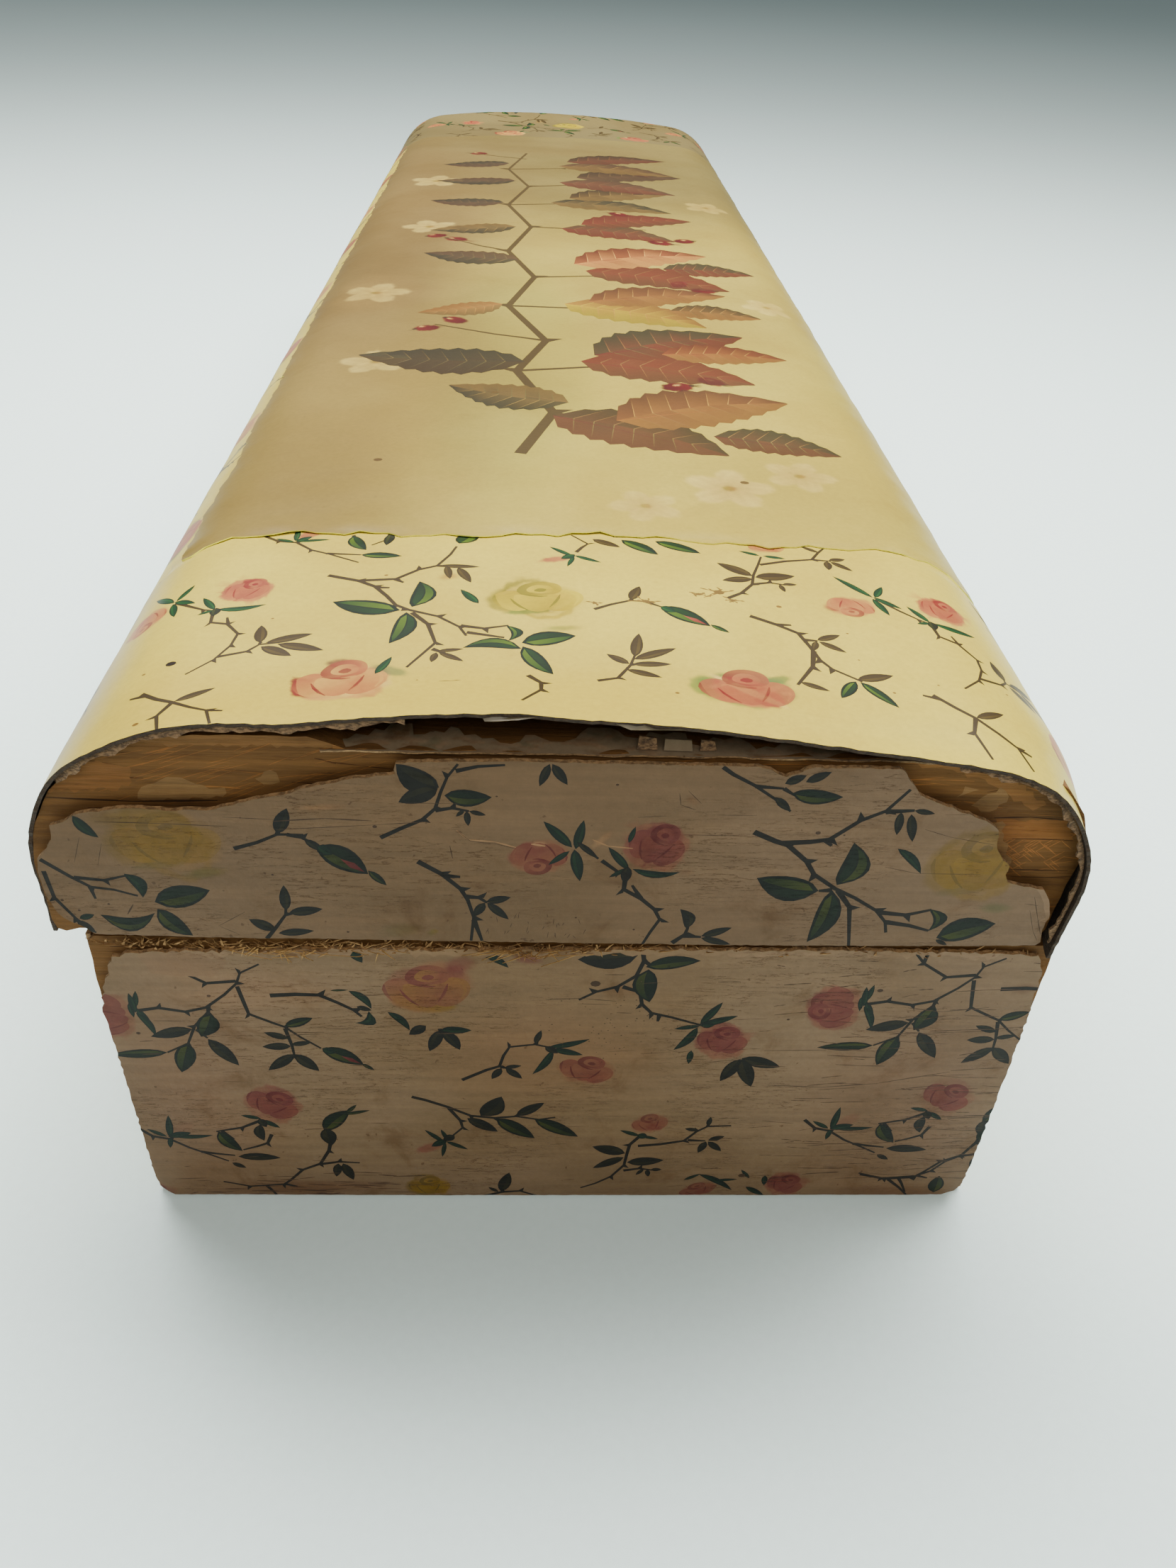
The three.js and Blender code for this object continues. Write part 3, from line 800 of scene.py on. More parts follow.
    sprig(ink, [
        [(15.0, 53.6), (17, 52.6), (18.1, 52.2), (20, 50.4), (20.9, 48.9), (23, 47.3), (25, 46.2),
            (27.2, 44.7),
         (28.3, 43.3), (28.6, 42)],
        [(17.5, 52.4), (20, 52.6), (21.6, 52.9), (23.9, 55), (25.9, 56.1), (27.5, 58.4)],
        [(25.9, 56.0), (28.3, 56.2)], [(21.3, 52.8), (21.9, 52.2)],
        [(23.3, 47.1), (24.7, 45.1), (25, 43.3), (25.5, 40.1)],
        [(27.4, 44.5), (30, 44.2), (32.2, 44.9)], [(28.4, 43.3), (30.6, 42.9), (32.5, 42.3)],
        [(22.8, 47.1), (21.6, 47.0)],
    ], [
        (28.3, 56.2, 30.1, 55.9, 0.6), (27.2, 56.0, 27.3, 53.5, 0.8), (28.1, 55.8, 28.8, 52.8, 0.9),
        (23.1, 47.7, 23.8, 52.6, 2.6, "green", -1.0), (21.6, 47, 15.9, 48.4, 2.9, "green", 0.5),
        (22.8, 47.1, 21.5, 40.7, 2.3, "green", 0.7), (32.0, 45.0, 32.4, 42.2, 1.3, "green", 1.1),
        (33.4, 41.4, 38.5, 43.3, 2.8, "green", 0.3), (27.7, 52, 30.3, 49.2, 0.9, "teal", 0.3),
        (33.4, 41.2, 34.6, 40.5, 0.5),
    ], width=0.56)
    spot(ink, 20.5, 53.6, 0.24, (0.3, 0.24, 0.2))
    return ink


def lid_end_wear(ink):
    """Scratches, scuffs and dirt on the lid's front end."""
    for points, width in (
        ([(-40, 53.7), (-34.6, 53.6), (-29.2, 53.4)], 0.1), ([(-29.5, 54.4), (-25.3, 54.2)], 0.08),
        ([(-25.4, 54), (-21, 54.4), (-17.2, 54.2)], 0.14),
        ([(-25.2, 53.1), (-16.8, 53.8), (-12.4, 54.2)], 0.08),
        ([(-15, 56.1), (-10, 56.2)], 0.06), ([(-29.9, 40.9), (-31.5, 41.9)], 0.06),
        ([(-31.6, 41.9), (-29, 43.7)], 0.07), ([(9, 53.2), (13.5, 53.2)], 0.07),
        ([(29.6, 54.2), (32, 53.4), (36, 52.6)], 0.07),
        ([(27, 49.9), (30, 49.2), (35.6, 49.2)], 0.07), ([(11.6, 55.4), (15, 55.4)], 0.06),
        ([(-41.6, 52), (-42.6, 49.2)], 0.06),
        ([(-40.7, 48.9), (-39.9, 51.4)], 0.06), ([(-10.8, 51.6), (-10.6, 50.2)], 0.1),
        ([(-39.3, 43.2), (-38.6, 44.4)], 0.16),
        ([(5, 55.0), (7.4, 55.2)], 0.06), ([(41.2, 46.6), (42.2, 44), (43, 42)], 0.09),
        ([(40.5, 45.8), (41.8, 45.6)], 0.07),
        ([(41.2, 45), (42.2, 42.4), (42.9, 41.2)], 0.06), ([(8.3, 57.6), (8.5, 56.4), (9.8, 55.9)], 0.09),
        ([(9, 57.9), (10.2, 56.6)], 0.07), ([(31, 55.8), (34.5, 55.9)], 0.05),
    ):
        crack(ink, points, width)
    for x, y, size in (
        (-40.7, 44.4, 0.12), (-43.4, 43.6, 0.13), (-44.6, 44.8, 0.16), (-26.1, 48.1, 0.12), (0.2, 43.4, 0.1),
        (3.1, 58.4, 0.14),
        (-17.0, 53.6, 0.2), (5.5, 42, 0.12), (22.8, 53.4, 0.1), (20.2, 47.5, 0.09), (-20.2, 41.3, 0.14),
        (-6.8, 57.0, 0.1),
    ):
        spot(ink, x, y, size)
    ink.wash((-21, 55.6), (2.6, 0.4), 6, (1.25, 1.2, 1.1), (0.7, 0.65, 0.6), 0.7, 0.8)
    ink.wash((-3.3, 51.8), (0.8, 0.45), 10, (1.5, 1.45, 1.4), (1.5, 1.45, 1.4), 0.6, 0.9)
    ink.wash((2.2, 52.6), (1.5, 0.4), 50, (1.5, 1.45, 1.4), (0.8, 0.75, 0.7), 0.6, 0.8)
    ink.wash((9.4, 56.9), (0.8, 0.5), -40, (0.55, 0.45, 0.36), (0.8, 0.7, 0.6), 0.6, 0.7)
    ink.wash((9.6, 49.0), (0.9, 0.5), 0, (0.3, 0.24, 0.2), (0.7, 0.6, 0.5), 0.8, 0.6)
    crack(ink, [(-10.2, 53.3), (-9.2, 52.3), (-7, 52.1), (-5.2, 51.5)], 0.16, (1.6, 1.55, 1.5))
    crack(ink, [(-3.9, 51.9), (-2.7, 51.7)], 0.22, (1.7, 1.65, 1.6))
    crack(ink, [(-10.0, 53.1), (-9.0, 52.1), (-7, 51.9), (-5.2, 51.35)], 0.07)
    crack(ink, [(1.3, 52.5), (2.7, 51.8), (4.8, 51.6)], 0.14, (1.5, 1.4, 1.3))
    draw = np.random.default_rng(21)
    for _ in range(26):
        x, y = draw.uniform(-8, 1), draw.uniform(40.8, 43.5)
        crack(ink, [(x, y), (x + draw.uniform(-0.3, 0.3), y + draw.uniform(0.3, 0.8))], 0.06)
    return ink


BASE_REPEAT = (69.8, 1.7)


def base_print():
    """One repeat of the rose sprigs on the base. Coordinates are x and z."""
    ink = Ink()
    rose(ink, "sunset", -13.6, 33.4, 9.4, 7.6, 0, 0.95)
    ink.wash((-10.3, 36.8), (1.9, 1.3), 20, DEEP, ROSE, 0.6, 0.6)
    ink.wash((-4.0, 37.6), (1.8, 0.8), -10, DEEP, ROSE, 0.6, 0.7)
    rose(ink, "pale", 2.0, 21.9, 6.4, 5.2, -20, 1.0)
    ink.wash((0.9, 20.6), (1.2, 0.6), 20, ROSE, DEEP, 0.5, 0.6)
    ink.wash((3.4, 23.2), (1.0, 0.5), -40, ROSE, DEEP, 0.5, 0.5)
    rose(ink, "side", -30, 16.2, 6.4, 5.5, -38)
    rose(ink, "side", 15.3, 26.4, 5.9, 5.2, -15, 0.95)
    rose(ink, "side", -44.0, 29.0, 5.2, 6.0, 90, 0.85)
    rose(ink, "side", 25.6, 31.8, 5.6, 5.4, 80, 0.85)
    rose(ink, "pale", 9.1, 13.2, 4.4, 3.8, 10, 0.8)
    rose(ink, "side", 25.0, 2.5, 4.9, 4.5, -30, 0.9)
    rose(ink, "pale", 15.3, 1.4, 4.8, 3.0, 20, 0.85)
    rose(ink, "yellow", -14.5, 2.1, 5.2, 4.2, 0, 0.9)
    ink.wash((-42.8, 1.4), (1.2, 0.8), 0, ROSE, BLUSH, 0.6, 0.8)
    ink.wash((-39.6, 12.2), (1.7, 0.9), 45, ROSE, BLUSH, 0.35, 0.95)
    ink.wash((-14.2, 9.0), (1.9, 0.8), 25, ROSE, BLUSH, 0.4, 0.95)
    sprig(ink, [
        [(-40.9, 30.2), (-39, 30.6), (-36.5, 30.1), (-34.5, 30.7), (-32.5, 32.5), (-31.2, 34), (-30.7, 35.4),
            (-28.8, 36.6)],
        [(-31.2, 34.3), (-34, 34), (-36.5, 35.8), (-37.6, 37.2), (-38.9, 37.6)],
        [(-36.6, 35.9), (-36.3, 38.3), (-35.7, 40.2)],
        [(-31.2, 33.6), (-30.8, 31), (-30.6, 29.8), (-28.5, 28.6), (-27.4, 28), (-26, 26.5), (-24.2, 24.9)],
        [(-34.2, 31), (-34.4, 30), (-36, 28), (-37, 25.5), (-39.2, 24.2)], [(-35.9, 27.6), (-35.0, 26.3)],
        [(-27.4, 27.8), (-27, 25.3), (-26.9, 23.4)],
    ], [
        (-41.2, 29.9, -41.4, 32.6, 0.7, "teal"), (-41.2, 29.9, -39.9, 26.6, 0.8, "teal", 0.3),
        (-36.3, 27.6, -40.4, 26.5, 1.5, "dark"), (-34.2, 29.8, -35.6, 26.5, 2.2, "green", 0.2),
        (-37, 25.5, -38.3, 21.2, 2.1, "green"), (-35, 26.2, -32.5, 22.3, 1.6, "dark"),
        (-39.2, 24.2, -44.8, 23.8, 1.3, "green"), (-27.4, 28.1, -24.6, 29.3, 1.2, "green"),
        (-27.2, 26.3, -29.5, 27.2, 0.9), (-27.1, 25.2, -29.9, 25.1, 1.1), (-27.1, 25.4, -25, 25.8, 0.7),
        (-26.9, 24, -29.7, 21.6, 1.3), (-26.9, 24, -24.7, 21.5, 1.4),
    ])
    bud(ink, -24.1, 24.9, -20.2, 22.4, 2.0)
    leaf(ink, -20.4, 22.6, -19.2, 21.6, 0.5, "green")
    sprig(ink, [[(-28.3, 32.4), (-25.9, 32.6), (-23.7, 32.5), (-22, 31.4), (-20.6, 30.4), (-19.9, 29.5)]], [
        (-20.9, 33.1, -18.9, 30.6, 0.9, "teal", 0.4), (-20.3, 30.9, -18.9, 30.4, 0.7),
        (-19.2, 30.3, -20.6, 28.6, 1.2, "teal", 1.0),
        (-17.4, 30.2, -15.4, 27.6, 0.9, "teal", 0.3), (-20.4, 38.9, -19.3, 36.9, 1.1, "teal"),
        (-22.6, 33.1, -20.9, 33.2, 0.3, "green"),
    ], width=0.55)
    leaf(ink, -8.4, 38.4, -5.8, 36.4, 0.9, "teal", 0.2)
    sprig(ink, [[(-12.5, 27.9), (-12.4, 27.3)]], [
        (-12.5, 27.7, -9.4, 27.7, 1.1, "teal"), (-12.4, 27.7, -13.6, 24.6, 1.3),
        (-12.3, 27.6, -10.6, 24.8, 1.3, "dark", 0.2),
        (-13.8, 28.3, -15.5, 27.0, 1.2),
    ])
    sprig(ink, [
        [(-10.5, 20.2), (-8, 21.8), (-6.7, 22.4), (-6.3, 24), (-5.7, 25.3), (-3.2, 25.7), (-1.5, 25.2)],
        [(-6.6, 22.3), (-5.9, 22.1)],
    ], [
        (-3.2, 25.8, -2.6, 27.8, 0.7, "dark"), (-6.2, 22.2, -4.5, 22.5, 0.6), (-6.1, 22.1, -4.4, 20.5, 0.9),
        (-6.5, 22.1, -7.5, 20.4, 0.9), (-1.9, 25.3, 2.2, 26.6, 0.8, "teal", -0.2),
        (-1.5, 25.0, 1.6, 24.2, 0.9, "teal"),
        (-1.4, 24.9, -3.4, 21.2, 0.9, "teal", 0.3), (-2.2, 25.4, -0.9, 24.4, 0.9, "dark"),
    ])
    sprig(ink, [
        [(-31.6, 13.5), (-33.5, 12.4), (-36.3, 11.7)], [(-35.7, 11.8), (-34.6, 10.4)],
        [(-30.6, 11.3), (-31.2, 9.8), (-32.4, 9.2), (-33.9, 8.6)],
        [(-44.3, 12.3), (-43, 10.9), (-41.3, 10.4), (-39.5, 8.9), (-37.5, 7.7), (-35.7, 6.6)],
        [(-38.4, 8.2), (-36.9, 7.9), (-34.9, 7.6)],
    ], [
        (-31.4, 13.9, -33.4, 14.4, 0.6, "teal"), (-31.3, 13.7, -29.6, 12.4, 0.7, "teal"),
        (-31.6, 13.9, -31.0, 12.5, 1.0, "dark"),
        (-36.1, 11.7, -34.0, 8.4, 1.7, "green", -0.3), (-31.6, 12.9, -31.5, 10.2, 1.2, "dark", -0.3),
        (-41.2, 10.6, -40.8, 14.4, 0.8, "teal"), (-41.5, 10.8, -43.4, 12.1, 0.6, "teal"),
        (-41, 10.9, -36.7, 11.1, 0.7, "teal", -0.2),
        (-41.2, 10.7, -41.5, 8.9, 0.6, "teal"), (-41.4, 10.8, -38.9, 11.5, 1.0, "teal"),
        (-34.6, 7.4, -30.1, 7.2, 1.3, "dark", 0.1), (-35.4, 6.3, -34, 5.4, 0.7),
    ])
    leaf(ink, -25.1, 11.9, -22.2, 15.3, 2.0, "green", 0.2)
    sprig(ink, [
        [(-24.6, 9.9), (-24.9, 8.5), (-26, 6.2), (-28, 5.1), (-29.5, 3.2), (-30.3, 2.4), (-34, 2),
            (-36.8, 2.9)],
        [(-32.2, 2.1), (-31.6, 1.0), (-30.9, -0.6)], [(-26, 6.1), (-24, 6.5), (-21.8, 6.3)],
        [(-30.3, 2.5), (-28.9, 2.0)],
    ], [
        (-24.9, 12.3, -24.5, 9.4, 1.7, "dark"), (-22.6, 14.8, -21.4, 16.2, 0.5, "green"),
        (-22.8, 14.6, -20.1, 15.3, 0.5, "green"),
        (-24.1, 6.2, -24.5, 3.8, 1.0), (-23.6, 6.2, -22.7, 3.2, 1.2),
    ])
    sprig(ink, [
        [(-15.7, 17.5), (-14.3, 17), (-12, 15.9), (-9.7, 14.5), (-7.2, 14.1), (-5, 14.4), (-2.6, 13.9),
            (-0.9, 14.3)],
        [(-12, 15.8), (-10.8, 13.7), (-10.6, 12.5), (-11.7, 11.1)],
    ], [
        (-8.7, 14.5, -6.5, 17.6, 2.3, "dark", -0.4), (-5, 14.5, -2.1, 16.7, 1.3),
        (-10.1, 14.1, -6.9, 11.8, 1.4),
        (-7.1, 14, -3, 10.7, 1.9, "green"), (-3.1, 14, 1.6, 11, 1.8, "green"),
        (-12.6, 9.9, -14.6, 12.1, 0.6, "teal"), (-12.2, 10.3, -12.9, 12.2, 0.5, "teal"),
        (-12.4, 10.1, -10.1, 8.7, 0.6, "teal"),
        (-12.5, 9.9, -12.9, 7.4, 0.5, "teal"), (-12.3, 10.4, -14.0, 9.2, 1.0, "teal"),
        (-11.5, 11.2, -12.7, 10.2, 1.1, "dark"),
    ])
    sprig(ink, [[(-9, 0), (-6.5, 1), (-4.5, 1.2), (-2, 0)]],
        [(-6.6, 1.1, -5.7, 4.6, 1.4), (-6.9, 1.0, -8.0, 1.9, 0.5)])
    sprig(ink, leaves=[
        (15.2, 4.3, 19.2, 1.3, 0.9, "teal", 0.3), (22.6, 4.1, 22.7, 2.3, 0.7, "teal"),
        (20.7, 2.0, 22.9, 0.4, 0.8, "teal"),
        (13.6, 3.2, 15.4, 4.4, 0.5, "teal"), (17.2, 3.2, 19.6, 3.4, 0.5, "teal"),
        (20.9, 3.6, 19.8, 5.2, 0.5, "teal"),
    ])
    sprig(ink, [
        [(6.4, 40), (6.8, 37.5), (6.2, 35.5), (4.5, 34), (2.5, 33.3), (0.9, 32.2)],
        [(5, 34), (6.7, 33.3), (7, 31.6), (8, 30.4), (10, 29.8), (13, 28.7)], [(8.8, 30.1), (8.7, 29.2)],
        [(6.8, 37.6), (7.6, 36.6)],
    ], [
        (6.2, 38.3, 0.6, 37.6, 2.6, "dark", 0.3), (7, 36.7, 12.1, 37.6, 1.7, "green", 0.2),
        (7.3, 36.4, 7.7, 31.9, 2.4, "green", -0.4), (8.2, 39.9, 11.1, 40.1, 0.9),
        (12.9, 28.8, 14.8, 32, 0.9, "teal"),
        (12.8, 28.6, 16.5, 30.1, 0.9, "teal"), (12.9, 28.6, 10.4, 28.1, 0.6, "teal"),
        (12.7, 28.4, 10.6, 25, 1.0, "teal", 0.3),
        (12.4, 25, 12.3, 22.9, 0.7, "teal"), (17.6, 23.8, 21.7, 22.5, 1.6), (17.5, 23.7, 15.8, 20.2, 1.5),
        (17.6, 23.7, 19.1, 19.3, 1.7, "dark"), (13.0, 28.6, 14.4, 28.8, 0.8, "teal"),
    ], width=0.5)
    sprig(ink, leaves=[
        (28.7, 32.3, 29.1, 34.6, 0.6, "teal"), (28.7, 32.3, 29.8, 29.8, 0.7, "teal"),
        (28.2, 33.0, 28.3, 30.9, 0.6, "teal"),
    ])
    sprig(ink, [
        [(8.2, 11.1), (7.2, 9.6), (7, 8), (6.8, 6), (5.5, 3.9), (3.8, 2.6), (2.2, 1.8)],
        [(8.1, 9.4), (10.5, 9.7), (13, 10.3), (14.2, 11.9), (15.3, 12.8), (17.8, 12.9)],
        [(6.8, 5), (8.5, 5.4), (10, 5.1)], [(13.4, 10.4), (15.3, 10.3)],
    ], [
        (8.2, 11.1, 6, 12.1, 0.6, "teal"), (8.3, 11.1, 10.2, 10.6, 0.5, "teal"),
        (8.0, 11.4, 9.0, 10.8, 1.0, "teal"),
        (6.8, 8.1, 3.2, 9.3, 1.6), (6.7, 7.4, 3.4, 5.4, 1.2), (7.1, 6.5, 11.1, 6.9, 1.5),
        (9.8, 5.2, 11.0, 5.2, 0.6),
        (9.4, 5.2, 9.6, 3.9, 0.6), (9.0, 5.3, 8.2, 4.2, 0.5), (14.3, 12.1, 12.9, 12.4, 0.6),
        (15.3, 12.9, 15.5, 14.4, 0.6),
        (15.6, 10.4, 17.3, 11.1, 0.8), (15.4, 10.2, 14.7, 8.2, 0.9), (15.6, 10.2, 17.2, 8.5, 0.9),
    ])
    return ink


def base_front_extra(ink):
    """What shows at the right edge of the base's front, where the repeat differs."""
    sprig(ink, [
        [(33.2, 4.4), (36, 3.6), (39, 3.8), (41, 5), (42.2, 6.7), (43.6, 7.7), (45.3, 10.5)],
        [(36.5, 3.5), (38, 2), (39.3, 0.4)],
    ], [(42.2, 1.0, 42.2, 4.1, 1.8, "green"), (45.0, 10.4, 45.9, 13.4, 1.4, "green")])
    ink.wash((43.8, 34.2), (1.8, 1.0), 10, (0.35, 0.3, 0.28), (0.6, 0.5, 0.42), 0.8, 0.8)
    return ink


def base_wear(ink):
    """Cracks, stains and dirt on the base's front."""
    draw = np.random.default_rng(33)
    for _ in range(130):
        x, z = draw.uniform(14, 44), draw.uniform(3, 38)
        reach = draw.uniform(1.2, 7) * (0.5 + (x - 16) / 40)
        rise = draw.uniform(-0.25, 0.35)
        crack(ink, [(x, z), (x + reach / 2, z + rise), (x + reach, z + rise * 1.6)], draw.uniform(0.06, 0.16),
            (0.3, 0.22, 0.15))
    for _ in range(50):
        x, z = draw.uniform(-44, 14), draw.uniform(2, 36)
        reach = draw.uniform(0.8, 3.5)
        crack(ink, [(x, z), (x + reach, z + draw.uniform(-0.1, 0.25))], draw.uniform(0.05, 0.12),
            (0.32, 0.24, 0.17))
    for _ in range(44):
        x, z = draw.uniform(-42, -18), abs(draw.normal(0, 2.2)) + 0.4
        reach = draw.uniform(0.6, 4)
        crack(ink, [(x, z), (x + reach, z + draw.uniform(-0.2, 0.3))], draw.uniform(0.08, 0.2),
            (0.3, 0.2, 0.13))
    for _ in range(80):
        x, z = draw.normal(4.5, 4), draw.normal(28.5, 3)
        spot(ink, x, z, draw.uniform(0.04, 0.1), strength=0.7)
    crack(ink, [(20.8, 19.6), (26.5, 19.3), (32, 20), (39.3, 21.9)], 0.12)
    crack(ink, [(19.7, 25), (26, 25.1)], 0.1)
    crack(ink, [(33, 31.4), (36.4, 30.9), (41, 31.5)], 0.12)
    crack(ink, [(-2.3, 32.2), (1.2, 32.4), (4.5, 32.0)], 0.1)
    for x, z, size in ((20, 4.1, 0.42), (29.8, 33.8, 0.3), (-41.5, 27, 0.22), (-34, 32.3, 0.2),
        (2.4, 34.4, 0.5), (21.5, 29.6, 0.16)):
        spot(ink, x, z, size)
    ink.wash((-28, 1.8), (12, 2.2), 2, (0.42, 0.29, 0.17), (0.5, 0.38, 0.26), 0.8, 0.8)
    ink.wash((36, 16), (16, 30), 0, (0.78, 0.78, 0.80), (0.62, 0.61, 0.62), 0.9, 0.8)
    ink.wash((-38, 16), (12, 30), 0, (0.66, 0.62, 0.60), (0.88, 0.88, 0.90), 0.9, 0.8)
    ink.wash((-2, 24), (16, 10), 0, (0.98, 0.92, 0.86), (0.98, 0.92, 0.86), 0.9, 0.6)
    ink.wash((-30, 33), (12, 5), 0, (1.06, 1.08, 1.1), (1.04, 1.06, 1.08), 0.9, 0.7)
    ink.wash((38, 1.2), (9, 1.8), -2, (0.6, 0.5, 0.4), (0.5, 0.4, 0.3), 0.8, 0.7)
    ink.wash((5, 33.5), (3.2, 1.5), 0, (0.55, 0.45, 0.36), (0.8, 0.7, 0.6), 0.9, 0.5)
    ink.wash((-36.5, 36.2), (3.6, 1.8), 5, (0.85, 0.84, 0.84), (1.1, 1.1, 1.1), 0.6, 0.5)
    patch(ink, [(-39.6, 37.9), (-33, 38.4), (-31.5, 36.9), (-33.2, 34.8), (-38.8, 35.2)], (0.93, 0.93, 0.94),
        8, 0.15, 0.6)
    return ink


LID_REPEAT = (67.0, 0.75)


def flattened(points):
    """Rows read off the crown of the bent sheet, spread as they lie on its nearly flat crown."""
    u, v = points[..., 0], points[..., 1]
    spread = 1 + np.maximum(0, 1.8 - u * u / 631) / 52.6
    return np.stack([(u + 3.9) * spread - 3.9, v * spread + 77.1 * (spread - 1)], -1)


def border_print():
    """The rose sprigs on the lid's border. u runs round the lid, v back from its front edge."""
    ink = Ink()
    rose(ink, "open", -19.8, 5.4, 8.8, 8.4, 0)
    rose(ink, "cream", 13.6, 4.6, 9.2, 8.0, 0)
    rose(ink, "yellow", -3.7, 18.9, 9.4, 7.6, 0, 1.0)
    ink.wash((-1.4, 19.4), (1.3, 1.0), -30, PEACH, ROSE, 0.7, 0.55)
    ink.wash((-1.5, 13.5), (2.4, 0.7), 5, GREEN, OLIVE, 0.8, 0.55)
    ink.wash((-12.0, 23.4), (1.4, 0.9), 20, (0.6, 0.45, 0.25), (0.8, 0.65, 0.4), 0.8, 0.7)
    rose(ink, "pale", -41.3, 22.4, 5.6, 5.2, 180, 0.95)
    ink.wash((-43.4, 21.6), (1.0, 0.7), 150, DEEP, ROSE, 0.6, 0.7)
    rose(ink, "side", -31.1, 23.7, 5.0, 5.4, -22)
    rose(ink, "pale", 26.1, 21.9, 5.4, 4.8, 180, 0.95)
    ink.wash((24.0, 21.0), (1.0, 0.7), 150, DEEP, ROSE, 0.6, 0.7)
    rose(ink, "side", 36.0, 24.4, 5.0, 5.8, -22)
    rose(ink, "pale", 19.5, 32.9, 4.4, 3.0, 10, 0.75)
    ink.wash((-2.0, 26.9), (1.9, 0.7), 15, ROSE, BLUSH, 0.4, 0.95)
    ink.wash((-26.8, 35.1), (1.9, 1.0), 40, ROSE, BLUSH, 0.4, 0.95)
    for shift in (0.0, 67.3):
        up = shift and 0.6
        sprig(ink, [
            [(-38.2 + shift, 23.7 + up), (-36.2 + shift, 21.9 + up), (-34.6 + shift, 20.7 + up),
                (-33.4 + shift, 20.2 + up)],
            [(-33.5 + shift, 20 + up), (-33.3 + shift, 18 + up), (-31.6 + shift, 17.3 + up),
                (-30.2 + shift, 15.2 + up),
             (-30.4 + shift, 13.2 + up), (-31.4 + shift, 11 + up), (-33.4 + shift, 9 + up)],
            [(-31.2 + shift, 11.4 + up), (-28.7 + shift, 11.8 + up), (-27.8 + shift, 12.8 + up),
                (-26 + shift, 12.8 + up)],
            [(-31.5 + shift, 17.2 + up), (-31.9 + shift, 18.6 + up)],
        ], [
            (-38.4 + shift, 23.9 + up, -41.8 + shift, 27.4 + up, 0.9, "teal"),
            (-38.2 + shift, 24 + up, -36.9 + shift, 26.6 + up, 0.8, "teal"),
            (-38.5 + shift, 23.7 + up, -37.5 + shift, 20.6 + up, 0.9, "teal"),
            (-38.4 + shift, 24 + up, -35.8 + shift, 22.4 + up, 0.8, "teal"),
            (-33.5 + shift, 20.5 + up, -35.2 + shift, 23.2 + up, 0.8, "teal"),
            (-33.3 + shift, 20.5 + up, -28.6 + shift, 20.3 + up, 0.9, "teal", -0.4),
            (-33.4 + shift, 20.8 + up, -33.3 + shift, 19.2 + up, 1.1, "dark"),
            (-33.6 + shift, 20.4 + up, -35.0 + shift, 19.8 + up, 0.5, "teal"),
            (-27.8 + shift, 13.1 + up, -28.3 + shift, 16.3 + up, 1.2, "brown"),
            (-27.3 + shift, 13 + up, -23.3 + shift, 13.9 + up, 1.2, "brown"),
            (-27.6 + shift, 12.4 + up, -24.6 + shift, 10.4 + up, 1.2, "brown"),
            (-26.2 + shift, 12.6 + up, -21.9 + shift, 10.9 + up, 1.2, "brown"),
        ], "brown")
    sprig(ink, [
        [(-23.6, 25), (-20.5, 23.4), (-18.8, 22), (-17.5, 20), (-16.5, 18.2), (-15.2, 17.2), (-12.5, 15.8),
            (-10.5, 13.8), (-9.8, 12.2)],
        [(-20.2, 23.4), (-17, 23.3), (-15, 25), (-13.3, 25.7), (-12.2, 28), (-11.7, 29.8)],
        [(-17.1, 23.3), (-16.2, 22.5)],
        [(-14.9, 16.7), (-13.3, 14.5), (-12.4, 11.2), (-14.5, 7.3)], [(-12.6, 10.2), (-11.4, 9.4)],
        [(-10.4, 14), (-8.3, 13.4), (-6.2, 13.9)], [(-9.8, 12.8), (-6.5, 11.8)],
        [(-15.9, 17.3), (-15.2, 17.2)],
        [(-18.6, 21.8), (-17.4, 21.6)],
    ], [
        (-13.2, 25.7, -9.2, 25.2, 0.8, "brown"), (-11.3, 25.2, -9.9, 22.1, 1.0, "brown"),
        (-12.4, 25.6, -11.9, 22.9, 0.8, "brown"),
        (-16, 17.2, -22.4, 19.6, 2.6, "green", 0.3), (-15, 17.7, -14.7, 22.6, 2.3, "green", -0.8),
        (-15.4, 16.8, -16.4, 11.4, 2.1, "green", 0.6), (-12.2, 9.8, -9.9, 10.0, 0.6, "brown"),
        (-12.2, 9.6, -12.5, 8.0, 0.7, "brown"),
        (-12.0, 9.6, -9.8, 8.0, 0.7, "brown"), (-6.4, 13.9, -6.2, 11.2, 1.1, "green", 0.9),
        (-9.0, 18.0, -10.8, 20.8, 0.9, "teal"), (-5, 10.9, -0.3, 12.2, 2.4, "green", 0.2),
        (-5, 9.9, -10, 10.2, 1.7, "green", -0.9),
        (-4.9, 10.3, -2.3, 5.7, 1.8, "green", -0.2), (-17.0, 6.4, -15.9, 9.2, 0.8, "teal"),
    ], "brown", width=0.5)
    leaf(ink, -11.5, 30.4, -9.9, 33.6, 2.2, "green")
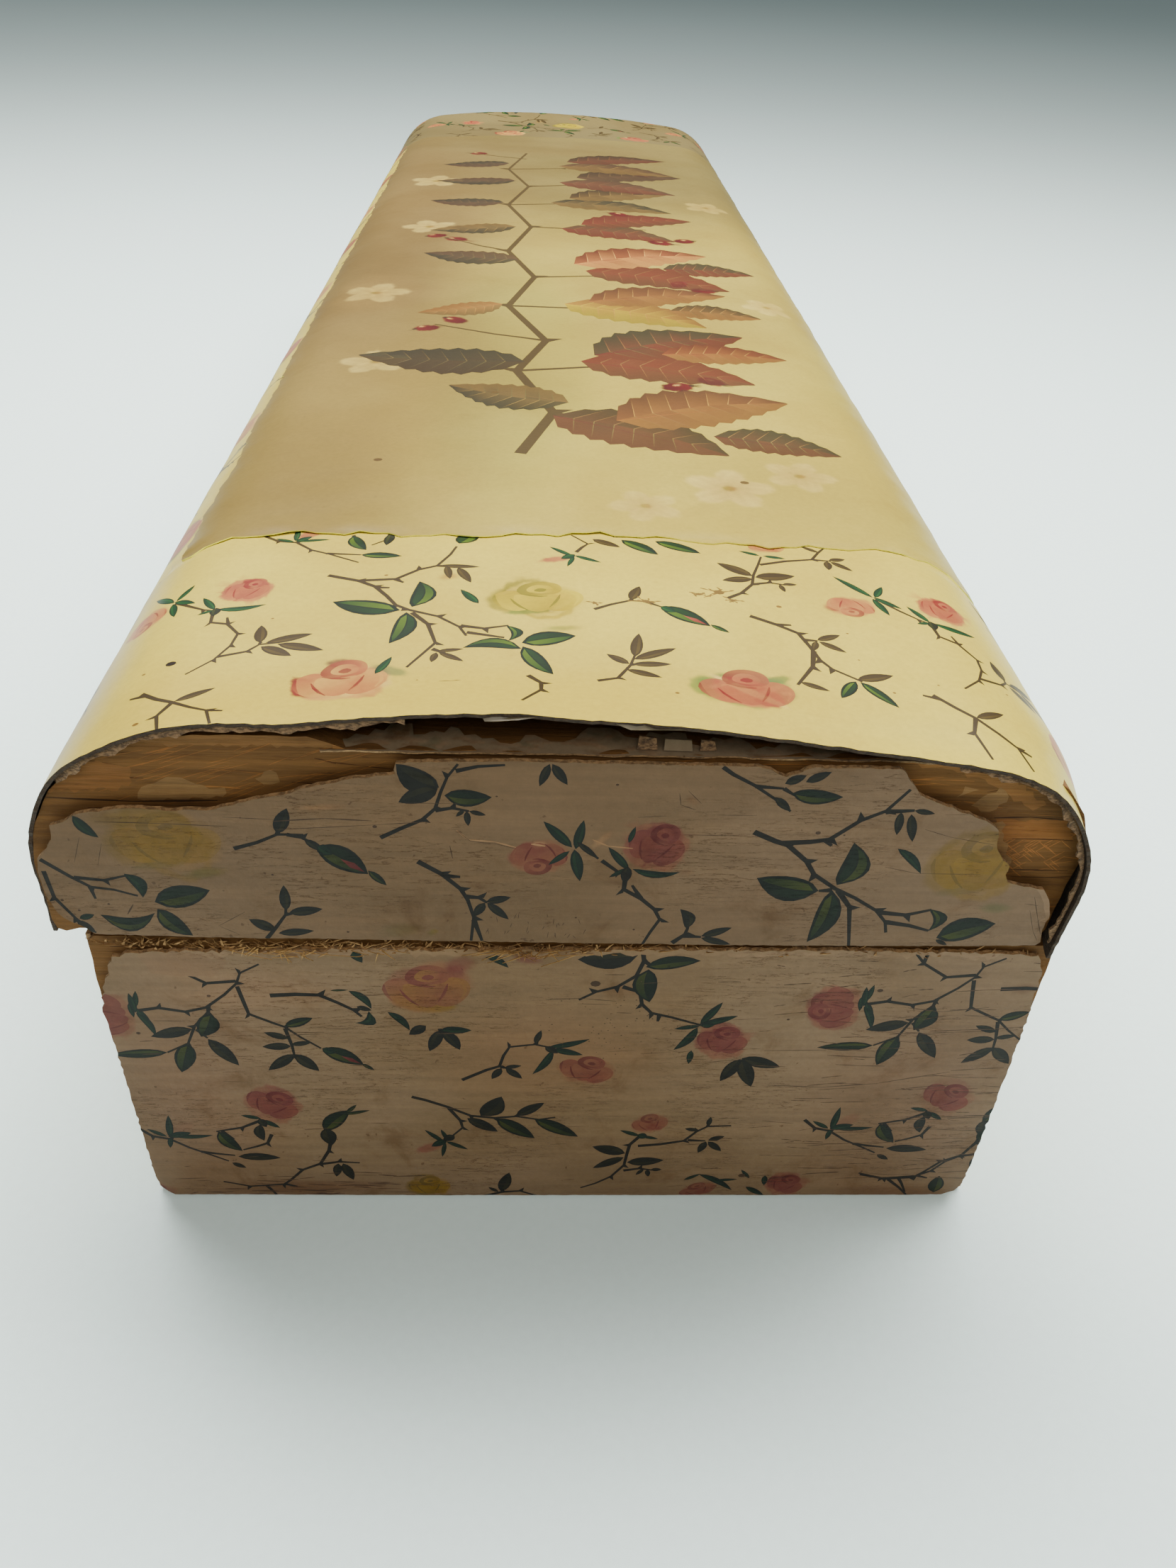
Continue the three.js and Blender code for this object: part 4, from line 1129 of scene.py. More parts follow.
    sprig(ink, [
        [(-32.6, 36.6), (-30, 34), (-28, 33.1), (-26.2, 31), (-24.2, 29.7), (-21, 27.3)],
        [(-24.5, 29.9), (-21, 29)],
        [(-22.4, 33.9), (-21.6, 32)], [(-18.6, 33.7), (-19.0, 32), (-20.2, 31)],
        [(0, 28.5), (0.6, 29.6), (1.2, 30.5), (-0.4, 32.6)],
    ], [
        (-28.2, 33.6, -28.4, 36.8, 0.7, "teal"), (-28.2, 33.4, -24.6, 33.3, 0.7, "teal"),
        (-28.3, 33.3, -30.4, 34.8, 0.6, "teal"),
        (-28.2, 33.5, -26.6, 34.4, 1.0, "teal"), (-21, 29, -16.9, 28.1, 1.3, "green"),
        (-22.4, 33.8, -20.6, 30, 1.6, "green", -0.3),
        (-18.5, 33.7, -18.7, 30.7, 1.1, "dark"), (-0.3, 27.6, -2.6, 29.6, 0.6, "teal"),
        (-0.2, 27.8, 2.4, 26.4, 0.6, "teal"),
        (-0.2, 27.6, -0.9, 25.4, 0.5, "teal"), (-0.1, 28.0, -1.5, 27.0, 1.0, "teal"),
        (1.7, 31.8, 4.4, 29.9, 1.2, "brown"),
        (4.6, 31.9, 8.1, 28.7, 1.8, "green"), (8, 32, 12.4, 29.7, 1.9, "green"),
        (3.8, 32.4, 5.6, 34.8, 1.2, "brown"),
    ], "brown")
    sprig(ink, [[(1.4, 17), (3, 18), (4.8, 18.9), (7, 18.8)], [(6.2, 18.8), (7.6, 18)]],
        [(4.8, 19, 5.8, 21.8, 1.1, "brown")], "brown")
    bud(ink, 7.5, 18.1, 11.8, 15.1, 2.2)
    leaf(ink, 11.8, 15.4, 13.4, 14.2, 0.7, "green")
    sprig(ink, [[(1.3, 4.8), (3, 5.4), (4.2, 7.7), (4.6, 9.2)]], [
        (4.6, 9, 5.2, 13, 1.1, "brown"), (4.5, 8.6, 8.3, 10.8, 1.1, "brown"),
        (4.1, 7.8, 2.2, 9.3, 0.9, "brown"),
        (4.3, 7.8, 7.7, 8.1, 0.9, "brown"), (3.8, 6.9, 6.7, 5.8, 0.9, "brown"),
    ], "brown")
    for shift in (0.0, 67.0):
        up = shift and 0.8
        sprig(ink, [
            [(-36.6 + shift, 6.8 + up), (-34.9 + shift, 5.4 + up), (-33.3 + shift, 4.5 + up),
                (-31.4 + shift, 3.0 + up), (-29.8 + shift, 1.9 + up), (-28.9 + shift, -0.6 + up)],
            [(-33.3 + shift, 4.5 + up), (-34.0 + shift, 2.4 + up), (-33.1 + shift, -0.6 + up)],
            [(-36.0 + shift, 6.3 + up), (-37.6 + shift, 6.5 + up)],
            [(-29.8 + shift, 1.9 + up), (-28.4 + shift, 1.5 + up)],
        ], [(-33.2 + shift, 4.6 + up, -30.1 + shift, 6.1 + up, 0.9, "brown")], "brown", width=0.5)
    twig(ink, [(-4.4, 5.5), (-3.3, 4.1), (-3.3, 2.7), (-4.8, 0.2)], 0.5, "brown")
    sprig(ink, [
        [(14, 20.7), (15.5, 22), (16.8, 24), (17.2, 26), (18, 28.4), (18.6, 30.4)],
        [(17, 24.1), (18.6, 24.8), (20.2, 24.7)],
        [(18.2, 28.5), (21, 30), (24, 31.2), (25, 33.2), (26, 34.8), (28.2, 35.2)],
        [(24.0, 31.2), (26.0, 31.4)],
    ], [
        (17.1, 25.8, 13.8, 27.9, 1.5, "brown"), (17.0, 25.2, 13.9, 24.2, 1.2, "brown"),
        (17.3, 25.6, 21.5, 26.9, 1.6, "brown"),
        (19.9, 24.8, 21.4, 25.1, 0.6, "brown"), (19.6, 24.7, 19.9, 23.2, 0.6, "brown"),
        (25.2, 33.3, 23.2, 34.4, 0.7, "brown"),
        (26.1, 34.8, 26.4, 36.6, 0.7, "brown"), (25.8, 31.5, 27.7, 32.4, 0.8, "brown"),
        (25.6, 31.3, 25.4, 29.3, 0.9, "brown"),
        (25.9, 31.3, 28.0, 29.8, 0.9, "brown"), (18.5, 30.6, 16.4, 31.2, 0.6, "teal"),
        (18.8, 30.6, 21.2, 30.6, 0.6, "teal"),
    ], "brown")
    sprig(ink, [
        [(15.7, 17.7), (18, 16.5), (19.8, 15.3), (20.5, 13), (21, 10.9), (21.8, 9.6), (24.2, 8.1)],
        [(20.7, 12.4), (20.1, 9.6), (18.2, 6.3)], [(17.9, 16.5), (19.4, 16.7)], [(20.1, 14.2), (21.4, 14.3)],
    ], [
        (21.4, 14.4, 23.8, 15.9, 0.9, "brown"), (21.3, 14.2, 20.7, 12.4, 0.7, "brown"),
        (21.5, 14.2, 23.8, 12.8, 0.9, "brown"),
        (23.8, 8.3, 27.4, 9.9, 1.2, "brown"), (24.0, 8.0, 26.7, 4.7, 1.3, "green"),
        (23.6, 8.0, 21.7, 4.9, 1.2, "green"),
        (18.5, 6.8, 20.9, 5.8, 0.8, "brown"),
    ], "brown", width=0.55)
    return ink


def border_sheet_print():
    """The border's print with its repeats round the lid."""
    one = border_print().moved(warp=flattened)
    return tiled(one, LID_REPEAT, -1, 1, keep=lambda i, x: x < -44.6 if i < 0 else x > 44.0)


def border_wear_and_shade(ink):
    """Stains, holes and dirt on the lid's border, and painted shade over its left shoulder."""
    worn = Ink()
    # Painted shade: a broad darkening over the left shoulder, toning down its sheen.
    worn.wash((-62, 20), (25, 50), 0, (0.66, 0.60, 0.66), (0.76, 0.70, 0.76), 0.5, 0.95)
    for x, y, size, seed in ((6.2, 18.9, 1.7, 1), (13.3, 21.7, 2.4, 2), (11.3, 21.0, 1.3, 3),
        (26, 36.4, 1.6, 4), (1.5, 18.2, 0.9, 5), (14.4, 20.4, 1.2, 6)):
        stars(worn, x, y, size, seed)
    for x, y, size in (
        (18.8, 20.1, 0.28), (24.6, 16.4, 0.14), (24.7, 11.8, 0.12), (26.8, 7, 0.16), (38.6, 10.8, 0.16),
        (31.4, 9.4, 0.12),
        (-18, 24.2, 0.2), (-27.5, 17.4, 0.15), (-37.5, 10.4, 0.2), (-35.6, 1.8, 0.3), (-13.4, 5.0, 0.1),
        (7.7, 3.2, 0.2),
    ):
        spot(worn, x, y, size, (0.4, 0.24, 0.14))
    spot(worn, -35.2, 11.2, 0.5, (0.1, 0.07, 0.05), 1.0)
    crack(worn, [(-11.6, 4.6), (-10.6, 4.6), (-9.8, 4.7)], 0.12)
    return ink.add(worn.moved(warp=flattened))


RUSSET = (0.30, 0.12, 0.16)
OCHRE = (0.58, 0.36, 0.20)
SLATE = (0.10, 0.11, 0.18)
CLARET = (0.34, 0.06, 0.11)
MAUVE = (0.22, 0.15, 0.22)
TAN = (0.42, 0.33, 0.26)
UMBER = (0.14, 0.10, 0.13)


def broad_leaf(ink, x, y, heading, length, width, dark, light):
    """A large autumn leaf: serrated, painted between its veins, darker on one side."""
    angle = math.radians(heading)
    run = np.array([math.cos(angle), math.sin(angle)]) * length
    side = np.array([-math.sin(angle), math.cos(angle)])
    base = np.array([x, y], float)
    count = 9

    def edge(share, out):
        swell = 0.5 * width * math.sin(math.pi * min(share, 1) ** 0.75) ** 0.8
        swell *= 1 + 0.1 * math.cos(2 * math.pi * share * count)
        return base + run * share + side * (out * swell + 0.12 * width * math.sin(math.pi * share))

    for out, tone, other in ((1, dark, light), (-1, light, dark)):
        tone, other = np.array(tone), np.array(other)
        for i in range(count):
            near, far = i / count, (i + 1) / count
            tip_near, tip_far = min(near + 0.1, 1), min(far + 0.1, 1)
            steps = [edge(tip_near + (tip_far - tip_near) * k / 2, out) for k in range(3)]
            cell = [edge(near, 0), *steps, edge(far, 0)]
            blend = 0.25 + 0.2 * ((i * 7) % 3)
            ink.shape(cell, tone * (1 - blend) + other * blend, tone * 0.7, edge(near, 0), steps[1], 0.93)
        for i in range(1, count - 1):
            start, stop = edge(i / count, 0), edge(i / count + 0.09, out * 0.9)
            lean = (stop - start) / max(np.hypot(*(stop - start)), 1e-6)
            across = np.array([-lean[1], lean[0]]) * 0.07
            ink.shape([start - across, stop, start + across], other * 1.25, strength=0.7)
    rib = side * 0.13
    ink.shape([base - rib, base + run * 0.96, base + rib], np.array(light) * 1.3, dark)


def hip(ink, x, y, size, turn, tone=CLARET):
    """A glossy rose hip."""
    ink.wash((x, y), (size, size * 0.72), turn, np.array(tone) * 0.6, tone, 0.22)
    angle = math.radians(turn)
    light = (x + 0.2 * size * math.cos(angle) - 0.2 * size, y + 0.3 * size)
    ink.wash(light, (size * 0.3, size * 0.16), turn, PEACH, CREAM, 0.6, 0.8)
    ink.wash((x + size * 0.9 * math.cos(angle), y + size * 0.9 * math.sin(angle)), (size * 0.24, size * 0.2),
        0, UMBER, UMBER, 0.4)


def blossom(ink, x, y, size, turn, strength=0.75):
    """A pale five-petalled blossom, softly painted."""
    for i in range(5):
        angle = math.radians(turn + 72 * i)
        spot = (x + 0.55 * size * math.cos(angle), y + 0.55 * size * math.sin(angle))
        ink.wash(spot, (size * 0.55, size * 0.42), math.degrees(angle), (0.82, 0.76, 0.66), (1.08, 1.08, 1.1),
            0.35, strength)
    ink.wash((x, y), (size * 0.2, size * 0.18), 0, OLIVE, OCHRE, 0.5, strength)


def picture_print():
    """The picture sheet: a long spray of autumn leaves, hips and blossom on a tan and cream ground, with
    painted shade over its far half.
    """
    ink = Ink()
    # The second and last rows are painted shade: a neutral darkening over the far half of the sheet, where
    # the light falls off.
    for x, y, long, high, inner, outer, weight in (
        (4, 170, 130, 330, (0.72, 0.70, 0.54), (0.80, 0.80, 0.56), 1.0),
        (6, 275, 90, 125, (0.42, 0.41, 0.40), (0.48, 0.47, 0.43), 1.0),
        (30, 60, 46, 62, (0.84, 0.84, 0.55), (0.84, 0.84, 0.55), 1.0),
        (-8, 96, 15, 62, (0.50, 0.52, 0.42), (0.78, 0.80, 0.52), 0.9),
        (-52, 80, 50, 120, (0.47, 0.42, 0.36), (0.56, 0.52, 0.42), 1.0),
        (-52, 190, 54, 140, (0.40, 0.345, 0.34), (0.44, 0.385, 0.37), 1.0),
        (-30, 128, 10, 14, (0.60, 0.52, 0.46), (0.46, 0.40, 0.42), 0.5),
        (-4, 268, 40, 16, (0.42, 0.40, 0.42), (0.48, 0.45, 0.44), 0.6),
    ):
        ink.wash((x, y), (long, high), 0, inner, outer, 0.5, weight)
    for x, y, size, turn, weight in (
        (18, 50, 5.2, 10, 0.8), (8, 44, 4.0, 40, 0.6), (27, 55, 4.4, 70, 0.7), (-27, 92, 5.0, 25, 0.55),
        (-31, 128, 5.6, 5, 0.55),
        (-26, 176, 5.4, 33, 0.6), (34, 128, 4.4, 50, 0.6), (-28, 222, 6.0, 12, 0.5), (32, 205, 5.0, 0, 0.5),
    ):
        blossom(ink, x, y, size, turn, weight)
    stem = [(-6, 58), (-2, 72), (-7, 88), (-3, 102), (-9, 120), (-5, 138), (-10, 156), (-6, 176), (-11, 196),
        (-7, 216), (-12, 236), (-8, 258)]
    twig(ink, stem, 1.5, "brown", taper=0.4)
    for start, stop in (
        ((-2, 72), (16, 66)), ((-7, 88), (14, 96)), ((-3, 102), (-20, 110)), ((-9, 120), (15, 122)),
        ((-5, 138), (18, 146)),
        ((-10, 156), (-22, 166)), ((-6, 176), (17, 178)), ((-11, 196), (10, 204)), ((-7, 216), (14, 226)),
        ((-12, 236), (12, 244)), ((-8, 250), (-22, 258)),
    ):
        middle = ((start[0] + stop[0]) / 2 + 0.8, (start[1] + stop[1]) / 2 - 1.2)
        twig(ink, [start, middle, stop], 0.8, "brown")
    for x, y, heading, length, width, dark, light in (
        (-2, 71, -28, 24, 12, UMBER, RUSSET), (6, 70, 24, 26, 13, RUSSET, OCHRE),
        (0, 76, 160, 17, 9, SLATE, TAN), (18, 66, -12, 16, 8, SLATE, RUSSET),
        (2, 93, -14, 25, 12, CLARET, RUSSET), (4, 96, 30, 27, 13, SLATE, CLARET),
        (-6, 92, 172, 24, 11, UMBER, SLATE), (14, 98, 6, 19, 9, CLARET, OCHRE),
        (0, 122, -22, 24, 12, OCHRE, YELLOW), (4, 124, 20, 25, 11, RUSSET, OCHRE),
        (-10, 121, 200, 14, 7, TAN, OCHRE), (17, 121, -2, 15, 8, UMBER, OCHRE),
        (4, 144, -18, 26, 13, CLARET, RUSSET), (2, 148, 26, 28, 13, CLARET, PEACH),
        (-8, 150, 165, 18, 9, SLATE, MAUVE), (18, 148, 4, 17, 9, SLATE, CLARET),
        (0, 176, -16, 23, 11, MAUVE, CLARET), (4, 180, 22, 25, 11, CLARET, RUSSET),
        (-9, 176, 190, 17, 8, SLATE, TAN),
        (-2, 200, -10, 26, 11, SLATE, TAN), (2, 205, 24, 24, 11, UMBER, TAN),
        (-12, 198, 170, 16, 8, MAUVE, SLATE),
        (0, 222, -14, 27, 12, MAUVE, RUSSET), (4, 228, 20, 27, 12, UMBER, MAUVE),
        (-10, 222, 178, 18, 8, SLATE, MAUVE),
        (0, 242, -8, 28, 12, MAUVE, TAN), (2, 248, 22, 27, 11, UMBER, RUSSET),
        (-12, 244, 186, 16, 8, MAUVE, SLATE),
    ):
        broad_leaf(ink, x, y, heading, length, width, dark, light)
    for x, y, size, turn in (
        (15, 84, 2.6, 20), (20, 87, 2.3, -30), (-17, 112, 2.4, 140), (-21, 108, 2.2, 200), (24, 135, 2.6, 10),
        (20, 138, 2.3, 60),
        (-20, 165, 2.6, 150), (-24, 168, 2.2, 190), (19, 168, 2.8, -10), (24, 171, 2.5, 30),
        (12, 191, 2.5, -20), (16, 214, 2.4, 10), (-20, 257, 2.4, 170),
        (20, 236, 2.4, 0),
    ):
        hip(ink, x, y, size, turn)
    for x, y in ((-9.7, 79), (-22.5, 56), (20, 52)):
        spot(ink, x, y, 0.55, (0.2, 0.13, 0.08))
    return ink


def seam_edge(u):
    """Where the picture sheet's front edge lies over the border."""
    return 36.0 + 0.5 * np.sin(u * 0.21 + 1) + 0.35 * np.sin(u * 0.83) + 0.2 * np.sin(u * 2.3 + 2)


class Nodes:
    """Short calls for building one node tree."""

    def __init__(self, tree):
        self.tree = tree

    def add(self, kind, inputs=(), **settings):
        node = self.tree.nodes.new(kind)
        for key, value in settings.items():
            setattr(node, key, value)
        for key, value in dict(inputs).items():
            if isinstance(value, bpy.types.NodeSocket):
                self.tree.links.new(value, node.inputs[key])
            else:
                node.inputs[key].default_value = value
        return node

    def math(self, operation, a, b=0.0, clamp=False):
        return self.add("ShaderNodeMath", {0: a, 1: b}, operation=operation, use_clamp=clamp).outputs[0]

    def noise(self, vector, scale, detail=3.0, rough=0.5, warp=0.0):
        inputs = {"Vector": vector, "Scale": scale, "Detail": detail, "Roughness": rough, "Distortion": warp}
        return self.add("ShaderNodeTexNoise", inputs).outputs["Fac"]

    def step(self, value, low, high, out_low=0.0, out_high=1.0):
        inputs = {"Value": value, "From Min": low, "From Max": high, "To Min": out_low, "To Max": out_high}
        return self.add("ShaderNodeMapRange", inputs, interpolation_type="SMOOTHSTEP").outputs[0]

    def mix(self, factor, a, b, blend="MIX"):
        node = self.add("ShaderNodeMix", data_type="RGBA", blend_type=blend)
        for index, value in ((0, factor), (6, a), (7, b)):
            if isinstance(value, bpy.types.NodeSocket):
                self.tree.links.new(value, node.inputs[index])
            else:
                node.inputs[index].default_value = value if index == 0 else (*value[:3], 1)
        return node.outputs[2]

    def stretch(self, vector, by):
        return self.add("ShaderNodeVectorMath", {0: vector, 1: by}, operation="MULTIPLY").outputs[0]


def new_group(name, inputs, outputs):
    tree = bpy.data.node_groups.new(name, "ShaderNodeTree")
    for label, kind, default in inputs:
        socket = tree.interface.new_socket(label, in_out="INPUT", socket_type=kind)
        if default is not None:
            socket.default_value = default
    for label, kind in outputs:
        tree.interface.new_socket(label, in_out="OUTPUT", socket_type=kind)
    nodes = Nodes(tree)
    return tree, nodes, nodes.add("NodeGroupInput").outputs, nodes.add("NodeGroupOutput")


def paper_ageing_group():
    """Yellowing, mottling, grime and fine streaks of an old printed sheet."""
    name = "Paper ageing"
    if name in bpy.data.node_groups:
        return bpy.data.node_groups[name]
    tree, n, given, out = new_group(
        name,
        [("Place", "NodeSocketVector", None), ("Grime", "NodeSocketFloat", 0.5),
            ("Streaks", "NodeSocketFloat", 0.0)],
        [("Tint", "NodeSocketColor"), ("Dull", "NodeSocketFloat"), ("Height", "NodeSocketFloat")],
    )
    place, grime, streaks = given["Place"], given["Grime"], given["Streaks"]
    broad = n.noise(place, 0.035, 4.0, 0.55)
    tint = n.mix(n.step(broad, 0.35, 0.68), (0.88, 0.83, 0.72), (1.04, 1.03, 1.03))
    fibres = n.noise(n.stretch(place, (1.0, 1.0, 1.0)), 1.7, 5.0, 0.7)
    tint = n.mix(1.0, tint, n.mix(n.step(fibres, 0.3, 0.7), (0.93, 0.93, 0.92), (1.04, 1.04, 1.04)),
        "MULTIPLY")
    blotch = n.step(n.noise(place, 0.16, 6.0, 0.65, 0.5), 0.52, 0.78)
    amount = n.math("MULTIPLY", blotch, grime)
    tint = n.mix(amount, tint, n.mix(1.0, tint, (0.58, 0.46, 0.32), "MULTIPLY"))
    speck = n.step(n.noise(place, 1.1, 2.0, 0.6), 0.70, 0.76)
    tint = n.mix(n.math("MULTIPLY", speck, grime), tint, n.mix(1.0, tint, (0.42, 0.3, 0.2), "MULTIPLY"))
    thin = n.noise(n.stretch(place, (0.16, 0.16, 1.5)), 1.0, 6.0, 0.62)
    lines = n.math("SUBTRACT", 1.0, n.step(n.math("ABSOLUTE", n.math("SUBTRACT", thin, 0.5)), 0.0, 0.012),
        True)
    where = n.step(n.noise(place, 0.09, 2.0), 0.45, 0.62)
    lines = n.math("MULTIPLY", n.math("MULTIPLY", lines, where), streaks)
    tint = n.mix(lines, tint, n.mix(1.0, tint, (0.5, 0.4, 0.32), "MULTIPLY"))
    soft = n.step(n.noise(n.stretch(place, (0.05, 0.05, 0.9)), 1.0, 4.0, 0.6), 0.35, 0.7, -1.0, 1.0)
    shade = n.math("ADD", 1.0, n.math("MULTIPLY", n.math("MULTIPLY", soft, 0.07), streaks))
    tint = n.mix(1.0, tint, n.add("ShaderNodeCombineColor", {0: shade, 1: shade, 2: shade}).outputs[0],
        "MULTIPLY")
    height = n.math("SUBTRACT", n.math("MULTIPLY", n.noise(place, 0.55, 5.0, 0.6), 0.6),
        n.math("MULTIPLY", lines, 0.5))
    for label, value in (("Tint", tint), ("Dull", n.math("ADD", amount, n.math("MULTIPLY", lines, 0.5))),
        ("Height", height)):
        tree.links.new(value, out.inputs[label])
    return tree


def wood_grain_group():
    """Grain, pores and soft bands of plain softwood, running along the first axis of its place."""
    name = "Wood grain"
    if name in bpy.data.node_groups:
        return bpy.data.node_groups[name]
    tree, n, given, out = new_group(
        name,
        [("Place", "NodeSocketVector", None), ("Dark", "NodeSocketColor", (0.2, 0.1, 0.05, 1)),
            ("Light", "NodeSocketColor", (0.5, 0.35, 0.2, 1))],
        [("Color", "NodeSocketColor"), ("Height", "NodeSocketFloat")],
    )
    place = given["Place"]
    bands = n.noise(n.stretch(place, (0.02, 0.5, 0.5)), 1.0, 5.0, 0.6, 0.4)
    streaks = n.noise(n.stretch(place, (0.12, 3.2, 3.2)), 1.0, 5.0, 0.7)
    pores = n.noise(n.stretch(place, (0.6, 9.0, 9.0)), 1.0, 3.0, 0.7)
    mix = n.math("ADD", n.math("MULTIPLY", n.step(bands, 0.3, 0.7), 0.55),
        n.math("MULTIPLY", n.step(streaks, 0.3, 0.7), 0.45))
    colour = n.mix(mix, given["Dark"], given["Light"])
    colour = n.mix(n.step(pores, 0.62, 0.78), colour, n.mix(1.0, colour, (0.5, 0.42, 0.36), "MULTIPLY"))
    colour = n.mix(n.step(n.noise(place, 0.12, 4.0), 0.5, 0.75), colour,
        n.mix(1.0, colour, (0.6, 0.52, 0.45), "MULTIPLY"))
    height = n.math("ADD", n.math("MULTIPLY", streaks, 0.6), n.math("MULTIPLY", pores, 0.4))
    tree.links.new(colour, out.inputs["Color"])
    tree.links.new(height, out.inputs["Height"])
    return tree


def start_material(name):
    """A new material with its own place in millimetres."""
    material = bpy.data.materials.new(name)
    material.use_nodes = True
    n = Nodes(material.node_tree)
    shader = material.node_tree.nodes["Principled BSDF"]
    place = n.stretch(n.add("ShaderNodeTexCoord").outputs["Object"], (1000.0, 1000.0, 1000.0))
    return material, n, shader, place


def set_values(shader, **values):
    for key, value in values.items():
        shader.inputs[key.replace("_", " ")].default_value = value


def printed_sheet(name, paper, grime, streaks, rough, coat, coat_rough, bump):
    """Printed paper under celluloid: the print multiplies an aged paper colour."""
    if name in bpy.data.materials:
        return bpy.data.materials[name]
    material, n, shader, place = start_material(name)
    aged = n.add("ShaderNodeGroup", node_tree=paper_ageing_group())
    n.tree.links.new(place, aged.inputs["Place"])
    aged.inputs["Grime"].default_value = grime
    aged.inputs["Streaks"].default_value = streaks
    printed = n.add("ShaderNodeAttribute", attribute_name="print").outputs["Color"]
    colour = n.mix(1.0, n.mix(1.0, paper, aged.outputs["Tint"], "MULTIPLY"), printed, "MULTIPLY")
    n.tree.links.new(colour, shader.inputs["Base Color"])
    n.tree.links.new(n.math("ADD", rough, n.math("MULTIPLY", aged.outputs["Dull"], 0.3), True),
        shader.inputs["Roughness"])
    raised = n.add("ShaderNodeBump", {"Strength": bump, "Distance": 0.0003, "Height": aged.outputs["Height"]})
    n.tree.links.new(raised.outputs[0], shader.inputs["Normal"])
    set_values(shader, Coat_Weight=coat, Coat_Roughness=coat_rough, Specular_IOR_Level=0.12 + 0.7 * coat)
    return material


def torn_fibre(name, colour, dark):
    """The broken edge and the back of a sheet: brown fibres."""
    if name in bpy.data.materials:
        return bpy.data.materials[name]
    material, n, shader, place = start_material(name)
    fibres = n.noise(n.stretch(place, (2.0, 2.0, 5.0)), 1.0, 4.0, 0.7)
    tone = n.mix(n.step(fibres, 0.35, 0.65), dark, colour)
    printed = n.add("ShaderNodeAttribute", attribute_name="print").outputs["Color"]
    n.tree.links.new(n.mix(1.0, tone, printed, "MULTIPLY"), shader.inputs["Base Color"])
    raised = n.add("ShaderNodeBump", {"Strength": 0.6, "Distance": 0.0003, "Height": fibres})
    n.tree.links.new(raised.outputs[0], shader.inputs["Normal"])
    set_values(shader, Roughness=0.9)
    return material


def bare_wood(name, dark, light, turn=(0, 0, 0), printed=False, bump=0.5):
    """Plain wood. turn brings its grain along the first axis."""
    if name in bpy.data.materials:
        return bpy.data.materials[name]
    material, n, shader, place = start_material(name)
    place = n.add("ShaderNodeMapping", {"Vector": place, "Rotation": turn}).outputs[0]
    grain = n.add("ShaderNodeGroup", node_tree=wood_grain_group())
    n.tree.links.new(place, grain.inputs["Place"])
    grain.inputs["Dark"].default_value = (*dark, 1)
    grain.inputs["Light"].default_value = (*light, 1)
    colour = grain.outputs["Color"]
    if printed:
        colour = n.mix(1.0, colour, n.add("ShaderNodeAttribute", attribute_name="print").outputs["Color"],
            "MULTIPLY")
    n.tree.links.new(colour, shader.inputs["Base Color"])
    raised = n.add("ShaderNodeBump", {"Strength": bump, "Distance": 0.0004,
        "Height": grain.outputs["Height"]})
    n.tree.links.new(raised.outputs[0], shader.inputs["Normal"])
    set_values(shader, Roughness=0.82, Specular_IOR_Level=0.2)
    return material


def shaded(colour, by):
    return tuple(min(1.0, c * by) for c in colour)


def finishes():
    """Every material of the box, from the colours in the scene's settings."""
    c = bpy.context.scene.glove_box_colours
    torn = torn_fibre("Torn sheet edge", tuple(c.torn_edge), shaded(c.torn_edge, 0.4))
    return {
        "lid": printed_sheet("Rose paper under gloss", tuple(c.lid_paper), 0.12, 0.0, 0.45, 0.08, 0.14, 0.12),
        "end": printed_sheet("Dulled rose paper", tuple(c.end_paper), 0.65, 1.2, 0.5, 0.05, 0.35, 0.35),
        "side": printed_sheet("Side rose paper", tuple(c.side_paper), 0.4, 0.5, 0.45, 0.3, 0.25, 0.25),
        "picture": printed_sheet("Picture sheet under gloss", shaded(c.lid_paper, 0.97), 0.18, 0.0, 0.45,
            0.08, 0.16, 0.12),
        "torn": torn,
        "fray": bare_wood("Loose wood fibres", (0.12, 0.055, 0.02), (0.52, 0.30, 0.12)),
        "pale fray": bare_wood("Pale loose wood fibres", (0.26, 0.14, 0.05), (0.55, 0.34, 0.13)),
        "grey paper": printed_sheet("Grey paper back", (0.19, 0.145, 0.10), 0.9, 0.0, 0.85, 0.0, 0.5, 0.4),
        "lining": torn_fibre("Brown lining paper", (0.26, 0.15, 0.07), (0.07, 0.04, 0.02)),
        "pale": printed_sheet("Pale curl of celluloid", (0.12, 0.1, 0.06), 0.1, 0.0, 0.4, 0.2, 0.2, 0.2),
        "end wood": bare_wood("Bare end wood", shaded(c.end_wood, 0.55), shaded(c.end_wood, 1.35),
            printed=True),
        "wood along": bare_wood(
            "Plain wood along the box", shaded(c.inner_wood, 0.6), shaded(c.inner_wood, 1.15),
            (0, 0, math.pi / 2)
        ),
        "wood across": bare_wood("Plain wood across the box", shaded(c.inner_wood, 0.6),
            shaded(c.inner_wood, 1.15)),
    }


def tiled(one, repeat, first, last, offset=(0, 0), turn=0.0, keep=None):
    """Repeats of a print side by side."""
    whole = Ink()
    for i in range(first, last + 1):
        part = one.moved((repeat[0] * i, repeat[1] * i))
        if keep and i:
            part.shapes = [s for s in part.shapes if keep(i, s[0][:, 0].mean())]
            part.washes = [w for w in part.washes if keep(i, w[0][0])]
        whole.add(part)
    return whole.moved(offset, turn)


def along_table(table, value):
    """A smooth reading between the rows of a table of (place, height)."""
    places, heights = zip(*table)
    return np.interp(value, places, heights)


